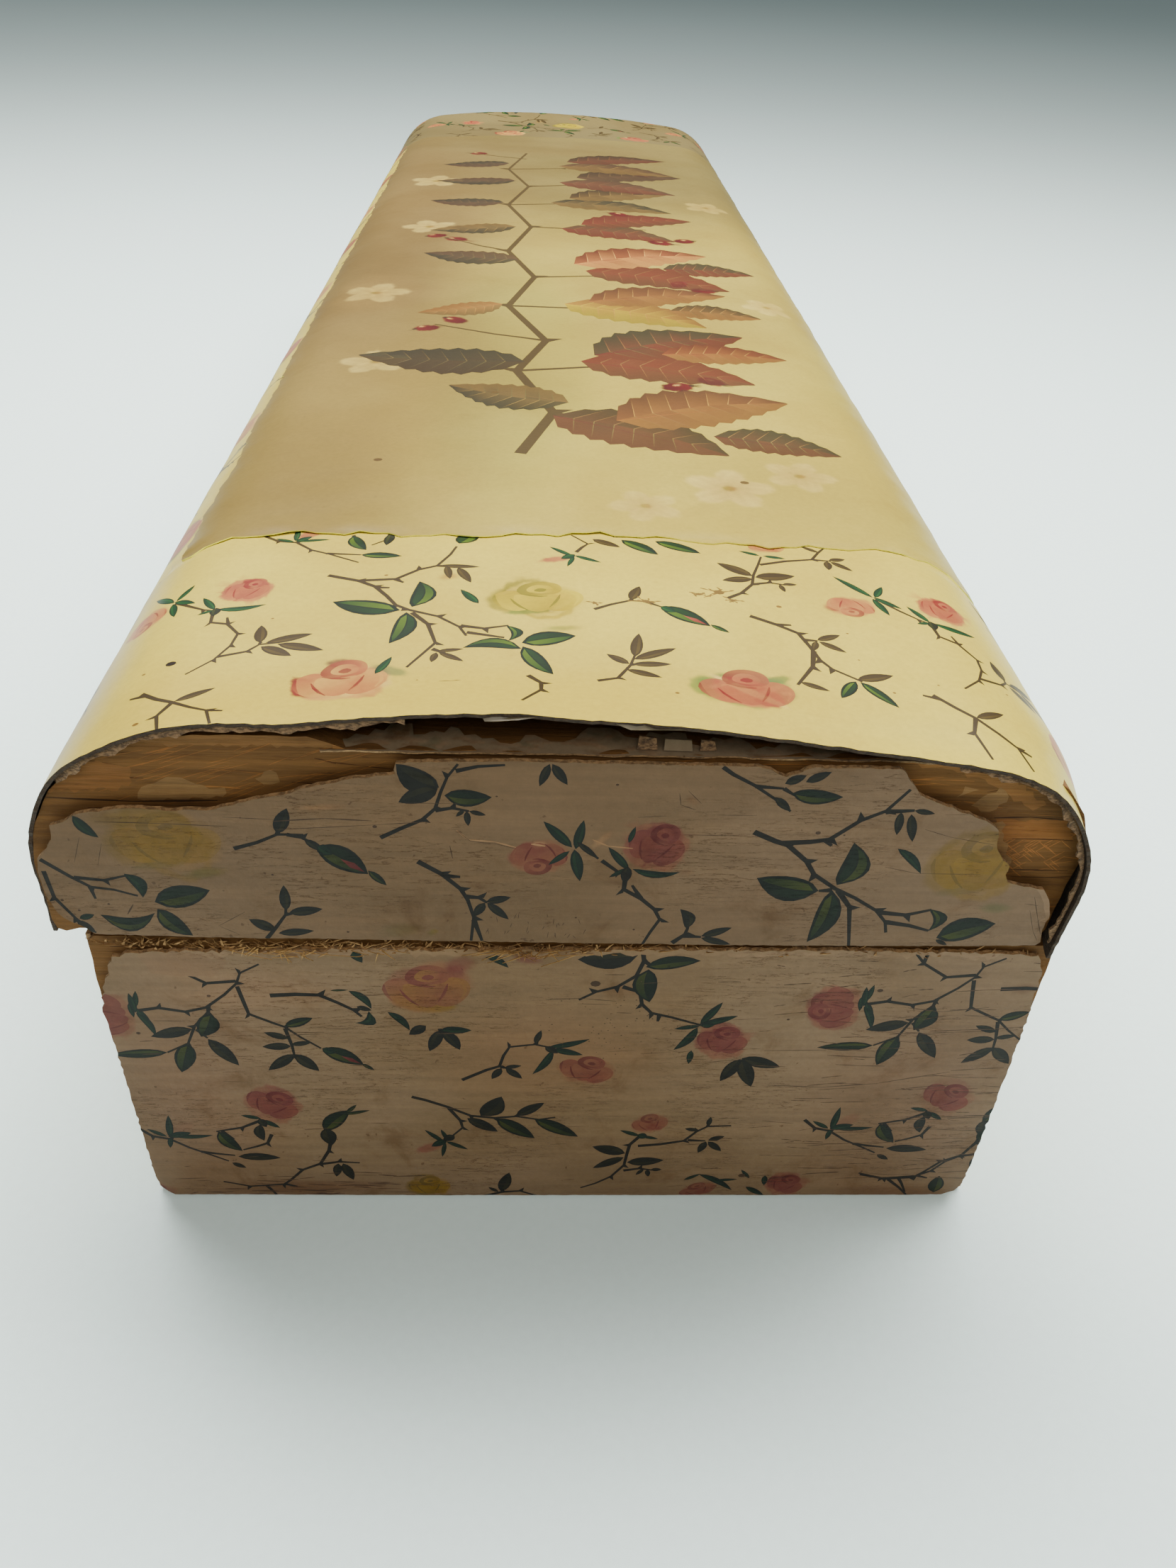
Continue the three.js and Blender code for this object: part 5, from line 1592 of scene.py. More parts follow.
FRONT_LIFT = (
    (-64, 0), (-44, 0), (-39, 0.0), (-34, 0.25), (-29, 0.7), (-21, 1.05), (-12, 1.5), (-5, 1.85), (2, 1.35),
    (8, 1.0), (17, 0.6),
    (24, 0.0), (31, -0.5), (38, -1.2), (43, -1.3), (47, -1.4), (52, -1.7), (57, -2.1), (64, -2.8),
)
FAR_LIFT = ((-64, 0), (-45, 0.1), (-34, 0.7), (-20, 1.35), (-8, 1.4), (8, 1.1), (22, 0.7), (34, 0.2), (50, 0),
    (64, 0))


def sheet_ripple(u, v, seed):
    sizes = bpy.context.scene.glove_box_sizes
    return sizes.ripple * (0.7 * waves(u, v, 34, seed) + 0.45 * waves(u, v, 11, seed + 1) + 0.1 * waves(u, v,
        4, seed + 2))


def front_border_lift(u, v):
    edge = bpy.context.scene.glove_box_sizes.edge_lift / 1.7
    fade = (1 - smooth(-1.5, 11.0, v)) ** 1.3
    buckle = 0.3 * waves(u, v * 0.3, 13, 40) * (1 - smooth(0, 5, v)) * smooth(62, 44, np.abs(u))
    under = -0.14 * smooth(33.5, 35.5, v)
    return (along_table(FRONT_LIFT, u) * fade + buckle) * edge + under + sheet_ripple(u, v, 21)


def far_border_lift(u, v):
    edge = bpy.context.scene.glove_box_sizes.edge_lift / 1.7
    return along_table(FAR_LIFT, u) * smooth(22.0, 35.0, v) * edge - 0.14 * smooth(1.5, 0.0,
        v) + sheet_ripple(u, v, 24)


def panel_lift(u, v):
    length = panel_length()
    close = np.minimum(v, length - v)
    pads = 0.1 * smooth(6, 1.5, v) * smooth(0.0, 1.2,
        v) * (1 + 0.6 * np.sin(u * 0.55 + 1.3 * np.sin(u * 0.21)))
    return 0.04 * smooth(3, 0, close) + pads + 1.6 * sheet_ripple(u, v, 27)


def panel_length():
    return (far_low[1] - lid_high[1]) + 0.5


def wood_marks_and_painted_light(name):
    """Scratches and fibres on a bare end board. On the lid's board also pale bands along its top edge, partly
    wear and partly painted highlight, and painted shade under the cover's edge.
    """
    ink = Ink()
    draw = np.random.default_rng(17 if name == "lid" else 18)
    top = 62 if name == "lid" else 40
    bottom = 40.5 if name == "lid" else 3
    for _ in range(260 if name == "lid" else 90):
        x, z = draw.uniform(-45, 45), draw.uniform(bottom, top)
        reach = draw.uniform(1.5, 7)
        tilt = draw.normal(0, 0.06)
        tone = (1.7, 1.6, 1.45) if draw.uniform() < 0.5 else (0.42, 0.36, 0.3)
        crack(ink, [(x, z), (x + reach / 2, z + tilt * reach + 0.05), (x + reach, z + 2 * tilt * reach)],
            draw.uniform(0.05, 0.16), tone)
    if name != "lid":
        return ink
    for _ in range(60):
        x, z = draw.uniform(-40, -18), draw.uniform(54.5, 60.5)
        reach = draw.uniform(1.5, 5)
        crack(ink, [(x, z), (x + reach, z + reach * draw.uniform(0.25, 0.5))], 0.07, (1.6, 1.5, 1.35))
    for _ in range(26):
        x, z = draw.uniform(37, 42.5), draw.uniform(48.6, 52.2)
        for lean in (1, -1):
            crack(ink, [(x, z), (x + 1.1, z + 0.9 * lean)], 0.1, (1.9, 1.8, 1.7))
    patch(ink, [(-44, 56), (-43, 58.2), (-39, 59.2), (-36.5, 58.6), (-37, 56.6), (-40, 56)], (1.3, 1.3, 1.3),
        61, 0.3, 0.55)
    patch(ink, [(36.4, 52.4), (43.6, 52.2), (42.4, 54.4), (36, 54.6)], (1.5, 1.4, 1.25), 62, 0.2, 0.6)
    # Pale bands along the board's top edge: partly worn rounding of the wood, partly a painted highlight
    # where the edge catches the light.
    patch(ink, [(-38, 60.8), (-20, 60.9), (-20, 62.2), (-34, 62.1)], (1.2, 1.4, 1.7), 63, 0.25, 0.7)
    patch(ink, [(-20, 60.8), (26, 60.8), (26, 61.3), (-20, 61.4)], (1.7, 1.8, 1.9), 64, 0.12, 0.7)
    patch(ink, [(26, 60.5), (34, 58.8), (39, 55.5), (40, 56.2), (35, 60), (27, 61.4)], (1.6, 1.7, 1.8), 65,
        0.25, 0.6)
    for outline, seed in (
        ([(-36.5, 55.3), (-36, 56.5), (-33.8, 57.6), (-32, 57.2), (-30.5, 56.4), (-29.2, 56.6), (-29.5, 55.6),
            (-33, 55.2)], 71),
        ([(-26.6, 57.6), (-25.8, 58.3), (-24.8, 58.2), (-24.6, 57.3), (-26, 57)], 72),
        ([(33.5, 56), (35.5, 58), (36.5, 57), (35.8, 55.6), (34.5, 55.3)], 73),
        ([(32, 56.8), (32.5, 58), (33.8, 57.7)], 74),
        ([(35.7, 54), (36.4, 52.4), (38, 49), (38.6, 49.6), (37.2, 52.8), (36.6, 54.4)], 75),
    ):
        patch(ink, outline, (1.35, 1.8, 2.6), seed, 0.25, 0.8)
    for line, width in (
        ([(-44, 55.3), (-37, 55.0), (-30, 55.2)], 0.22), ([(35.8, 54.7), (39, 54.8), (42.7, 54.5)], 0.14),
        ([(38, 52.4), (43.5, 52.3)], 0.12),
        ([(38.5, 48.9), (44, 48.8)], 0.14), ([(39, 48), (44, 47.9)], 0.1),
    ):
        crack(ink, line, width, (0.2, 0.16, 0.13))
    # Painted shade: the top of the board darkened where the cover's loose edge overhangs it.
    ink.wash((0, 62), (46, 2.2), 0, (0.45, 0.42, 0.4), (0.5, 0.46, 0.42), 0.8, 0.8)
    return ink


# The lid's paper has very little blue, so its inks are lifted there, and they are printed darker.
LID_INK_TINT = (1, 1, 2.0)
LID_INK_DEPTH = (1.6, 1.7)
LID_TEAR = (
    (-42.6, 40.75, 0.05), (-30, 40.45, 0.05), (0, 40.25, 0.05), (20, 40.2, 0.05), (36, 40.4, 0.05),
    (42.9, 40.6, 0.1), (43.3, 41, 0.1),
    (43, 42.5, 0.1), (43.2, 44.5, 0.1), (42.6, 46.3, 0.1), (41.8, 47.5, 0.1), (40.5, 47.8, 0.1),
    (39.3, 48, 0.1), (38.3, 48.3, 0.08),
    (37.9, 49.2, 0.08), (38, 50.2, 0.08), (37.2, 50.9, 0.08), (36.6, 51.8, 0.08), (36.2, 52.8, 0.08),
    (36, 54.2, 0.08), (35, 55, 0.1),
    (33.6, 55.6, 0.12), (31.5, 56.6, 0.12), (29.6, 57.3, 0.1), (28.4, 57.9, 0.1), (27.6, 59, 0.1),
    (26.6, 60.3, 0.08), (26.2, 60.5, 0.08),
    (19, 60.5, 0.08), (18, 59.9, 0.08), (16.9, 59.5, 0.1), (15.6, 60.2, 0.1), (14.5, 60.5, 0.06),
    (5, 60.5, 0.06), (-5, 60.6, 0.06),
    (-13.8, 60.3, 0.06), (-14.9, 60.1, 0.06), (-15.1, 59.5, 0.06), (-15, 59.1, 0.06), (-16, 58.9, 0.08),
    (-18.8, 58.5, 0.1),
    (-20.9, 57.9, 0.1), (-22.9, 57.4, 0.1), (-24.2, 56.8, 0.1), (-26, 56.4, 0.1), (-28, 55.9, 0.1),
    (-30, 55.2, 0.12), (-33, 55, 0.12),
    (-38, 55.1, 0.12), (-41.5, 54.4, 0.1), (-42.6, 53.6, 0.1), (-43.8, 53.2, 0.08), (-43.9, 52, 0.08),
    (-44.6, 50.6, 0.08),
    (-45.6, 49.6, 0.06), (-45.9, 48, 0.05), (-45.8, 45, 0.05), (-45.3, 43.2, 0.08), (-44.4, 42.2, 0.08),
    (-43.3, 41.5, 0.08),
)
BASE_TEAR = (
    (-42.4, 0.5, 0.03), (-20, 0.4, 0.03), (20, 0.4, 0.03), (43.2, 0.6, 0.06), (44.5, 1.3, 0.08),
    (45.1, 2.8, 0.1), (45.3, 12, 0.12),
    (45.2, 30, 0.14), (44.9, 36.6, 0.15), (43.9, 38.7, 0.2), (30, 39.1, 0.15), (12, 39.0, 0.2),
    (2, 38.8, 0.25), (-5, 38.6, 0.3),
    (-14, 38.7, 0.3), (-25, 38.4, 0.3), (-34, 38.2, 0.3), (-40, 37.9, 0.3), (-42, 37.4, 0.25),
    (-43.3, 33.9, 0.2), (-44.2, 30.6, 0.1),
    (-44.0, 18, 0.1), (-43.9, 4, 0.1), (-43.6, 2.0, 0.08), (-43.0, 1.1, 0.06),
)


def torn_fibres(outline, low_share, high_share, width, seed):
    """A thin pale line of fibres inside part of an outline."""
    ink = Ink()
    draw = np.random.default_rng(seed)
    count = len(outline)
    middle = outline.mean(0)
    run = []
    for i in range(int(count * low_share), int(count * high_share)):
        run.append(outline[i % count])
    inside = []
    for spot_here in run:
        towards = middle - spot_here
        towards[0] *= 0.25
        towards /= max(np.hypot(*towards), 1e-6)
        inside.append(spot_here + towards * width * draw.uniform(0.4, 1.5))
    ink.shape(run + inside[::-1], (1.15, 1.25, 1.35), strength=0.6)
    return ink


def add_piece(name, vertices, faces, materials, smooth_faces=True, nodes=()):
    """A piece from plain vertices in millimetres and faces."""
    mesh = bpy.data.meshes.new(name)
    mesh.from_pydata((np.array(vertices, float) * MM).tolist(), [], faces)
    for material in materials:
        mesh.materials.append(material)
    mesh.update()
    mesh.polygons.foreach_set("use_smooth", [smooth_faces] * len(mesh.polygons))
    layer = mesh.color_attributes.new("print", "FLOAT_COLOR", "CORNER")
    layer.data.foreach_set("color", np.ones(len(mesh.loops) * 4, np.float32))
    piece = bpy.data.objects.new(name, mesh)
    bpy.context.collection.objects.link(piece)
    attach(piece, BODY)
    if nodes:
        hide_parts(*nodes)
    return piece


def cover_edge(u):
    """Place of the front border's front edge at each u: (x, y, z) and the outward normal."""
    bend = Bend(lid_low, lid_high)
    u = np.asarray(u, float)
    v = along_table(((-64, 1.3), (-47, 0.7), (-41, 0.0), (-10, 0.0), (0, -0.2), (12, -0.5), (25, -0.9),
        (36, -1.2), (64, -0.9)), u)
    point, _, _, normal = bend.frame(u, v)
    point[:, 1] += lid_low[1]
    return point + front_border_lift(u, v)[:, None] * normal, normal


class GLOVEBOX_OT_base_boards(bpy.types.Operator):
    """Finish the base's boards in plain wood, with a worn front board"""
    bl_idname = "glove_box.base_boards"
    bl_label = "Base boards"

    def execute(self, context):
        looks = finishes()
        for name, wood in (("back", "across"), ("left", "along"), ("right", "along"), ("floor", "along")):
            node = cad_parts[f"base_{name}_board"]
            node.data.materials.clear()
            node.data.materials.append(looks[f"wood {wood}"])
        outline = ragged([
            (-42.6, 0.4, 0.02), (43.6, 0.4, 0.02), (45.1, 1.4, 0.05), (45.6, 4, 0.03), (45.6, 39.4, 0.06),
            (-43.4, 39.4, 0.12), (-44.1, 38.6, 0.12),
            (-44.2, 35, 0.1), (-44.3, 31, 0.05), (-44.2, 3, 0.03), (-43.6, 1.2, 0.03),
        ], 12, 1.2)
        face = base_low[1] + 0.65
        _, inner = corners("base_front_board")
        build_sheet(
            "base_front_board_worn", Plane((0, face, 0), (1, 0, 0), (0, 0, 1)), outline, wood_marks_and_painted_light("base"),
            [looks["end wood"], looks["end wood"]], ["base_front_board"],
            thickness=inner[1] - face - 0.05,
            lift=lambda u, v: 0.05 * waves(u, v * 4, 9, 51), step=2.0,
        )
        return {"FINISHED"}


class GLOVEBOX_OT_base_sheets(bpy.types.Operator):
    """Build the printed sheets on the base's four sides"""
    bl_idname = "glove_box.base_sheets"
    bl_label = "Base sheets"

    def execute(self, context):
        looks = finishes()
        sheet = context.scene.glove_box_sizes.sheet
        one = base_print()
        outline = ragged(list(BASE_TEAR), 4)
        ink = base_wear(base_front_extra(tiled(one, BASE_REPEAT, -1, 1)))
        ink.add(torn_fibres(outline, 0.52, 0.83, 0.7, 8))
        build_sheet(
            "base_front_sheet", Plane((0, base_low[1], 0), (1, 0, 0), (0, 0, 1)), outline, ink,
            [looks["end"], looks["torn"]], ["base_front_cover"], lift=lambda u,
            v: sheet_ripple(u, v, 30),
        )
        low, high = back_low, back_high
        outline = ragged([(-high[0] + 0.2, 0.5, 0.02), (-low[0] - 0.2, 0.5, 0.02),
            (-low[0] - 0.2, 39.2, 0.03), (-high[0] + 0.2, 39.2, 0.1)], 5)
        build_sheet(
            "base_back_sheet", Plane((0, high[1], 0), (-1, 0, 0), (0, 0, 1)), outline,
            tiled(one, BASE_REPEAT, -1, 1, (21, 2)),
            [looks["end"], looks["torn"]], ["base_back_cover"], lift=lambda u,
            v: sheet_ripple(u, v, 33), fine=0.4,
        )
        for name, low, high, sign, shift in (("left", left_low, left_high, -1, 11),
            ("right", right_low, right_high, 1, -8)):
            ends = sorted((sign * low[1], sign * high[1]))
            outline = ragged([(ends[0], 0.5, 0.03), (ends[1], 0.5, 0.03), (ends[1], 39.2, 0.08),
                (ends[0], 39.2, 0.03)], 6, 1.2)
            face = low[0] if sign < 0 else high[0]
            ink = tiled(one, (BASE_REPEAT[0], 0), -2, 2, (shift, 0))
            build_sheet(
                f"base_{name}_sheet", Plane((face, 0, 0), (0, sign, 0), (0, 0, 1)), outline, ink,
                [looks["side"], looks["torn"]],
                [f"base_{name}_cover"], lift=lambda u, v: sheet_ripple(u, v, 36), fine=0.5,
                step=2.5, thickness=sheet,
            )
        return {"FINISHED"}


class GLOVEBOX_OT_lid_boards(bpy.types.Operator):
    """Finish the lid's boards in plain wood, with a worn front board"""
    bl_idname = "glove_box.lid_boards"
    bl_label = "Lid boards"

    def execute(self, context):
        looks = finishes()
        for name, wood in (("back_board", "across"), ("left_rail", "along"), ("right_rail", "along"),
            ("top_board", "along")):
            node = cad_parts[f"lid_{name}"]
            node.data.materials.clear()
            node.data.materials.append(looks[f"wood {wood}"])
        outline = ragged([(x, z, 0.05) for x, z in (
            (-44.4, 40.45), (43.4, 40.45), (44.0, 41.5), (44.3, 47), (44.8, 50), (44.6, 52.5), (43.6, 55.2),
            (41.6, 57.8), (38.8, 59.6),
            (35, 60.5), (31, 60.7), (28, 60.75), (0, 60.75), (-19, 60.8), (-22, 61.9), (-31, 61.9),
            (-36, 61.2), (-40.4, 59.2), (-43.6, 56),
            (-45.7, 52.2), (-46.6, 48), (-46.6, 41.4), (-46.3, 40.4), (-45.6, 40.05),
        )], 14, 1.2)
        build_sheet(
            "lid_front_board_worn", Plane((0, end_low[1], 0), (1, 0, 0), (0, 0, 1)), outline,
            wood_marks_and_painted_light("lid"),
            [looks["end wood"], looks["end wood"]], ["lid_front_board"],
            thickness=end_high[1] - end_low[1],
            lift=lambda u, v: 0.06 * waves(u, v * 4, 9, 52), step=1.6,
        )
        return {"FINISHED"}


def lid_outline(low, high, radius, rise, inset=0.0):
    """Outline (x, z) of the lid's end, counter-clockwise from its lower left corner."""
    half = (high[0] - low[0]) / 2 - inset
    top, foot = high[2] - inset, low[2] + inset * 0.3
    shoulder, spring = half - radius, top - rise - radius
    crown = (shoulder**2 + rise * (rise + 2 * radius)) / (2 * rise)
    angle = math.asin(shoulder / (crown - radius))
    right = [(half, foot, 0.03), (half, spring, 0.03)]
    for i in range(1, 9):
        turn = math.pi / 2 - (math.pi / 2 - angle) * i / 8
        right.append((shoulder + radius * math.sin(turn), spring + radius * math.cos(turn), 0.04))
    for i in range(1, 7):
        turn = angle * (1 - i / 6)
        right.append((crown * math.sin(turn), top - crown * (1 - math.cos(turn)), 0.04))
    left = [(-x, z, 0.04) for x, z, _ in reversed(right[:-1])]
    return right + left


class GLOVEBOX_OT_lid_end_sheets(bpy.types.Operator):
    """Build the printed sheets on the lid's two ends, the front one torn"""
    bl_idname = "glove_box.lid_end_sheets"
    bl_label = "Lid end sheets"

    def execute(self, context):
        looks = finishes()
        low, _ = corners("lid_front_cover")
        outline = ragged(list(LID_TEAR), 7, 0.5)
        ink = lid_end_wear(lid_end_print())
        ink.add(torn_fibres(outline, 0.46, 0.93, 0.5, 9))
        build_sheet(
            "lid_front_sheet", Plane((0, low[1], 0), (1, 0, 0), (0, 0, 1)), outline, ink,
            [looks["end"], looks["torn"]],
            ["lid_front_cover"], lift=lambda u, v: sheet_ripple(u, v, 42),
        )
        low, high = corners("lid_back_cover")
        outline = ragged(lid_outline(low, high, 14.0, 0.9, 0.3), 8, 1.2)
        build_sheet(
            "lid_back_sheet", Plane((0, high[1], 0), (-1, 0, 0), (0, 0, 1)), outline,
            lid_end_print().moved((4, 1)),
            [looks["end"], looks["torn"]], ["lid_back_cover"], lift=lambda u,
            v: sheet_ripple(u, v, 44), fine=0.4,
        )
        return {"FINISHED"}


def far_border_print():
    """The border's print at the far end, darkened all over by painted shade where the light falls off."""
    ink = Ink()
    # Painted shade: a darkening over the whole far border, standing in for the light falling off towards the
    # far end of the lid.
    ink.wash((0, 17), (140, 90), 0, (0.5, 0.49, 0.58), (0.5, 0.49, 0.58))
    return ink.add(border_sheet_print().moved((7, -1)))


class GLOVEBOX_OT_lid_borders(bpy.types.Operator):
    """Build the printed sheets bent over each end of the lid, with their loose edges"""
    bl_idname = "glove_box.lid_borders"
    bl_label = "Lid borders"

    def execute(self, context):
        looks = finishes()
        bend = Bend(lid_low, lid_high, start=lid_low[1])
        end = bend.end
        ink = border_wear_and_shade(border_sheet_print())
        edge = [(u, v, 0.12) for u, v in (
            (-end, 1.3), (-54, 1.2), (-47, 0.7), (-41, 0.0), (-30, 0.1), (-20, 0.1), (-10, 0.0), (0, -0.2),
            (12, -0.5), (25, -0.9), (36, -1.2), (44, -1.2), (54, -1.0),
        )]
        outline = ragged([*edge, (end, -0.9, 0.05), (end, 37.6, 0.05), (-end, 37.6, 0.05)], 15, 0.7)
        build_sheet(
            "lid_front_border_sheet", bend, outline, ink, [looks["lid"], looks["torn"]], ["lid_front_border"],
            lift=front_border_lift, edge_tint=(0.14, 0.13, 0.14), thickness=0.35, ink_tint=LID_INK_TINT,
            ink_depth=LID_INK_DEPTH,
        )
        bend = Bend(far_low, far_high, start=far_low[1])
        length = far_high[1] - far_low[1]
        outline = ragged([(-end, -1.2, 0.02), (end, -1.2, 0.02), (end, length, 0.1), (-end, length, 0.05)],
            16, 1.0)
        build_sheet(
            "lid_back_border_sheet", bend, outline, far_border_print(), [looks["lid"], looks["torn"]],
            ["lid_back_border"], lift=far_border_lift, fine=0.4, edge_tint=(0.4, 0.38, 0.4),
            ink_tint=LID_INK_TINT,
            ink_depth=LID_INK_DEPTH,
        )
        return {"FINISHED"}


class GLOVEBOX_OT_lid_middle(bpy.types.Operator):
    """Build the picture sheet and the printed strips on either side of it"""
    bl_idname = "glove_box.lid_middle"
    bl_label = "Picture sheet and strips"

    def execute(self, context):
        looks = finishes()
        bend = Bend(lid_low, lid_high, start=lid_low[1])
        end = bend.end
        last = far_low[1] - lid_low[1] + 1.0
        near = lid_high[1] - lid_low[1]
        one = border_print()
        for name, low_u, high_u, shift in (("left", -end, -40.2, 5), ("right", 44.2, end, -9)):
            ink = tiled(one, (67.0, 0.0), -3, 3, (0, 0),
                90).moved(((-40, 160 + shift) if name == "left" else (82, 150 + shift)))
            outline = ragged([(low_u, near + 0.3, 0.02), (high_u, near + 0.3, 0.02),
                (high_u, last - 2.0, 0.02), (low_u, last - 2.0, 0.02)], 17, 2.0)
            build_sheet(
                f"lid_{name}_strip_sheet", bend, outline, ink, [looks["lid"], looks["torn"]],
                [f"lid_{name}_strip"],
                lift=lambda u, v: sheet_ripple(u, v, 46) - 0.14 * smooth(4.5, 2.0,
                    np.minimum(np.abs(u + 41.2), np.abs(u - 45.2))), fine=0.4, ink_tint=LID_INK_TINT,
                ink_depth=LID_INK_DEPTH,
            )
        front = [(u, float(seam_edge(u)), 0.12) for u in np.linspace(-41.2, 45.2, 60)]
        back = [(u, last + 0.4 * math.sin(u * 0.3), 0.1) for u in np.linspace(45.2, -41.2, 30)]
        right = [(45.2 + 0.35 * math.sin(v * 0.17), v, 0.3) for v in np.linspace(40, last - 4, 40)]
        left = [(-41.2 + 0.35 * math.sin(v * 0.23), v, 0.35) for v in np.linspace(last - 4, 40, 40)]
        outline = ragged(front + right + back + left, 18, 1.0)
        ink = picture_print()
        build_sheet(
            "lid_picture_sheet", bend, outline, ink, [looks["picture"], looks["picture"]],
            ["lid_picture_panel"],
            lift=lambda u, v: panel_lift(u, v - 36.0), step=2.0, fine=0.3, edge_tint=(2.3, 3.0, 3.6),
            thickness=0.12, ink_tint=(1, 1, 2.2),
            ink_depth=(1.35, 1.35),
        )
        return {"FINISHED"}


def strand(vertices, faces, start, lean, length, width):
    """A flat pointed fibre that bends a little towards its tip, never above the base's rim."""
    middle = start + lean * length * 0.5 + np.array([0, -0.1, 0.05])
    tip = start + lean * length
    tip[2] = min(tip[2], 39.9)
    across = np.array([0.5, 0.15, -0.3]) * width
    first = len(vertices)
    back = np.array([0, 0.08, 0])
    vertices += [start - across, start + across, middle + across * 0.7, tip, middle - across * 0.7]
    vertices += [p + back for p in vertices[first:]]
    faces += [(first, first + 1, first + 2, first + 3, first + 4), tuple(first + 9 - i for i in range(5))]
    faces += [(first + (i + 1) % 5, first + i, first + 5 + i, first + 5 + (i + 1) % 5) for i in range(5)]


class GLOVEBOX_OT_torn_edges(bpy.types.Operator):
    """Build the frays, lining and loose paper along the worn end"""
    bl_idname = "glove_box.torn_edges"
    bl_label = "Torn edges"

    def execute(self, context):
        looks = finishes()
        draw = np.random.default_rng(90)
        vertices, faces = [], []
        for _ in range(420):
            x = draw.uniform(-42.5, 8) if draw.uniform() < 0.85 else draw.uniform(8, 44)
            start = np.array([x, base_low[1] + draw.uniform(0.1, 0.6), draw.uniform(38.1, 38.9)])
            lean = np.array([draw.normal(0, 0.55), -draw.uniform(0.1, 0.5), draw.uniform(0.2, 0.9)])
            length = draw.uniform(0.6, 2.2)
            strand(vertices, faces, start, lean, length, draw.uniform(0.1, 0.3))
        add_piece("base_front_frays", vertices, faces, [looks["fray"]], False)
        vertices, faces = [], []
        for centre, height, count in ((-29.5, 38.9, 14), (-25, 38.6, 22), (-18, 38.8, 8), (-5, 38.9, 24),
            (-1, 38.9, 10)):
            for _ in range(count):
                start = np.array([centre + draw.normal(0, 1.3), base_low[1] - 0.1,
                    height - abs(draw.normal(0, 0.35))])
                lean = np.array([draw.normal(0, 1.2), -draw.uniform(0.05, 0.25), draw.uniform(-0.6, 0.2)])
                strand(vertices, faces, start, lean, draw.uniform(0.8, 2.4), draw.uniform(0.07, 0.16))
        add_piece("base_front_pale_frays", vertices, faces, [looks["pale fray"]], False)
        self.lining(looks)
        self.turned_strip(looks)
        self.scraps(looks)
        return {"FINISHED"}

    def lining(self, looks):
        """Brown paper beneath the cover's loose edge, ragged below."""
        draw = np.random.default_rng(91)
        for name, start, stop in (("left", -44.5, -14.0), ("right", 31.0, 61.5)):
            count = int((stop - start) / 0.55)
            u = np.linspace(start, stop, count)
            top, normal = cover_edge(u)
            depth = 0.25 + draw.uniform(0.1, 0.5, count) * (0.8 + 0.5 * np.sin(u * 1.3))
            under = top - normal * 0.4 + np.array([0, 0.5, 0])
            low = under - normal * depth[:, None] + np.array([0, -0.25, 0])
            vertices = np.concatenate([under, low, under + np.array([0, 0.25, 0]),
                low + np.array([0, 0.25, 0])]).tolist()
            faces = []
            for i in range(count - 1):
                a, b = i, i + 1
                faces += [
                    (a, b, count + b, count + a)[::-1],
                    (2 * count + a, 2 * count + b, 3 * count + b, 3 * count + a),
                    (a, b, 2 * count + b, 2 * count + a),
                    (count + a, count + b, 3 * count + b, 3 * count + a)[::-1],
                ]
            faces += [(0, count, 3 * count, 2 * count)[::-1],
                (count - 1, 2 * count - 1, 4 * count - 1, 3 * count - 1)]
            add_piece(f"lid_front_lining_{name}", vertices, faces, [looks["lining"]], False)

    def scraps(self, looks):
        """A pale curl, a flap and small chips at the middle of the loose edge."""
        for name, look, outline in (
            ("lid_front_curl", "pale", [(-8.0, 0.1, 64.95), (-7.7, -0.3, 64.6), (-6.7, -0.4, 64.7),
                (-5, -0.3, 64.8), (-3.6, -0.1, 64.95), (-4.2, 0.2, 65.05), (-6.6, 0.2, 65.1)]),
            ("lid_front_flap", "pale", [(2.6, -0.3, 64.6), (3.8, -0.6, 64.25), (5.8, -0.6, 64.3),
                (8.2, -0.5, 64.25), (7.4, -0.2, 64.45), (5.5, -0.1, 64.6)]),
            ("lid_front_chip_a", "lining", [(4.6, 1.4, 61.0), (6.3, 1.4, 61.0), (6.2, 1.9, 61.8),
                (4.8, 2.0, 61.9)]),
            ("lid_front_chip_b", "grey paper", [(6.8, 1.3, 61.0), (9.2, 1.3, 60.95), (9.1, 1.8, 61.7),
                (6.9, 1.8, 61.8)]),
            ("lid_front_chip_c", "lining", [(9.8, 1.4, 60.95), (11.2, 1.5, 60.95), (11.0, 1.9, 61.6),
                (9.9, 1.9, 61.7)]),
        ):
            face = lid_low[1]
            front = [(x, face + y, z) for x, y, z in outline]
            count = len(front)
            faces = [tuple(range(count)), tuple(range(2 * count - 1, count - 1, -1))]
            faces += [((i + 1) % count, i, count + i, count + (i + 1) % count) for i in range(count)]
            add_piece(name, front + [(x, y + 0.25, z - 0.05) for x, y, z in front], faces, [looks[look]],
                False)

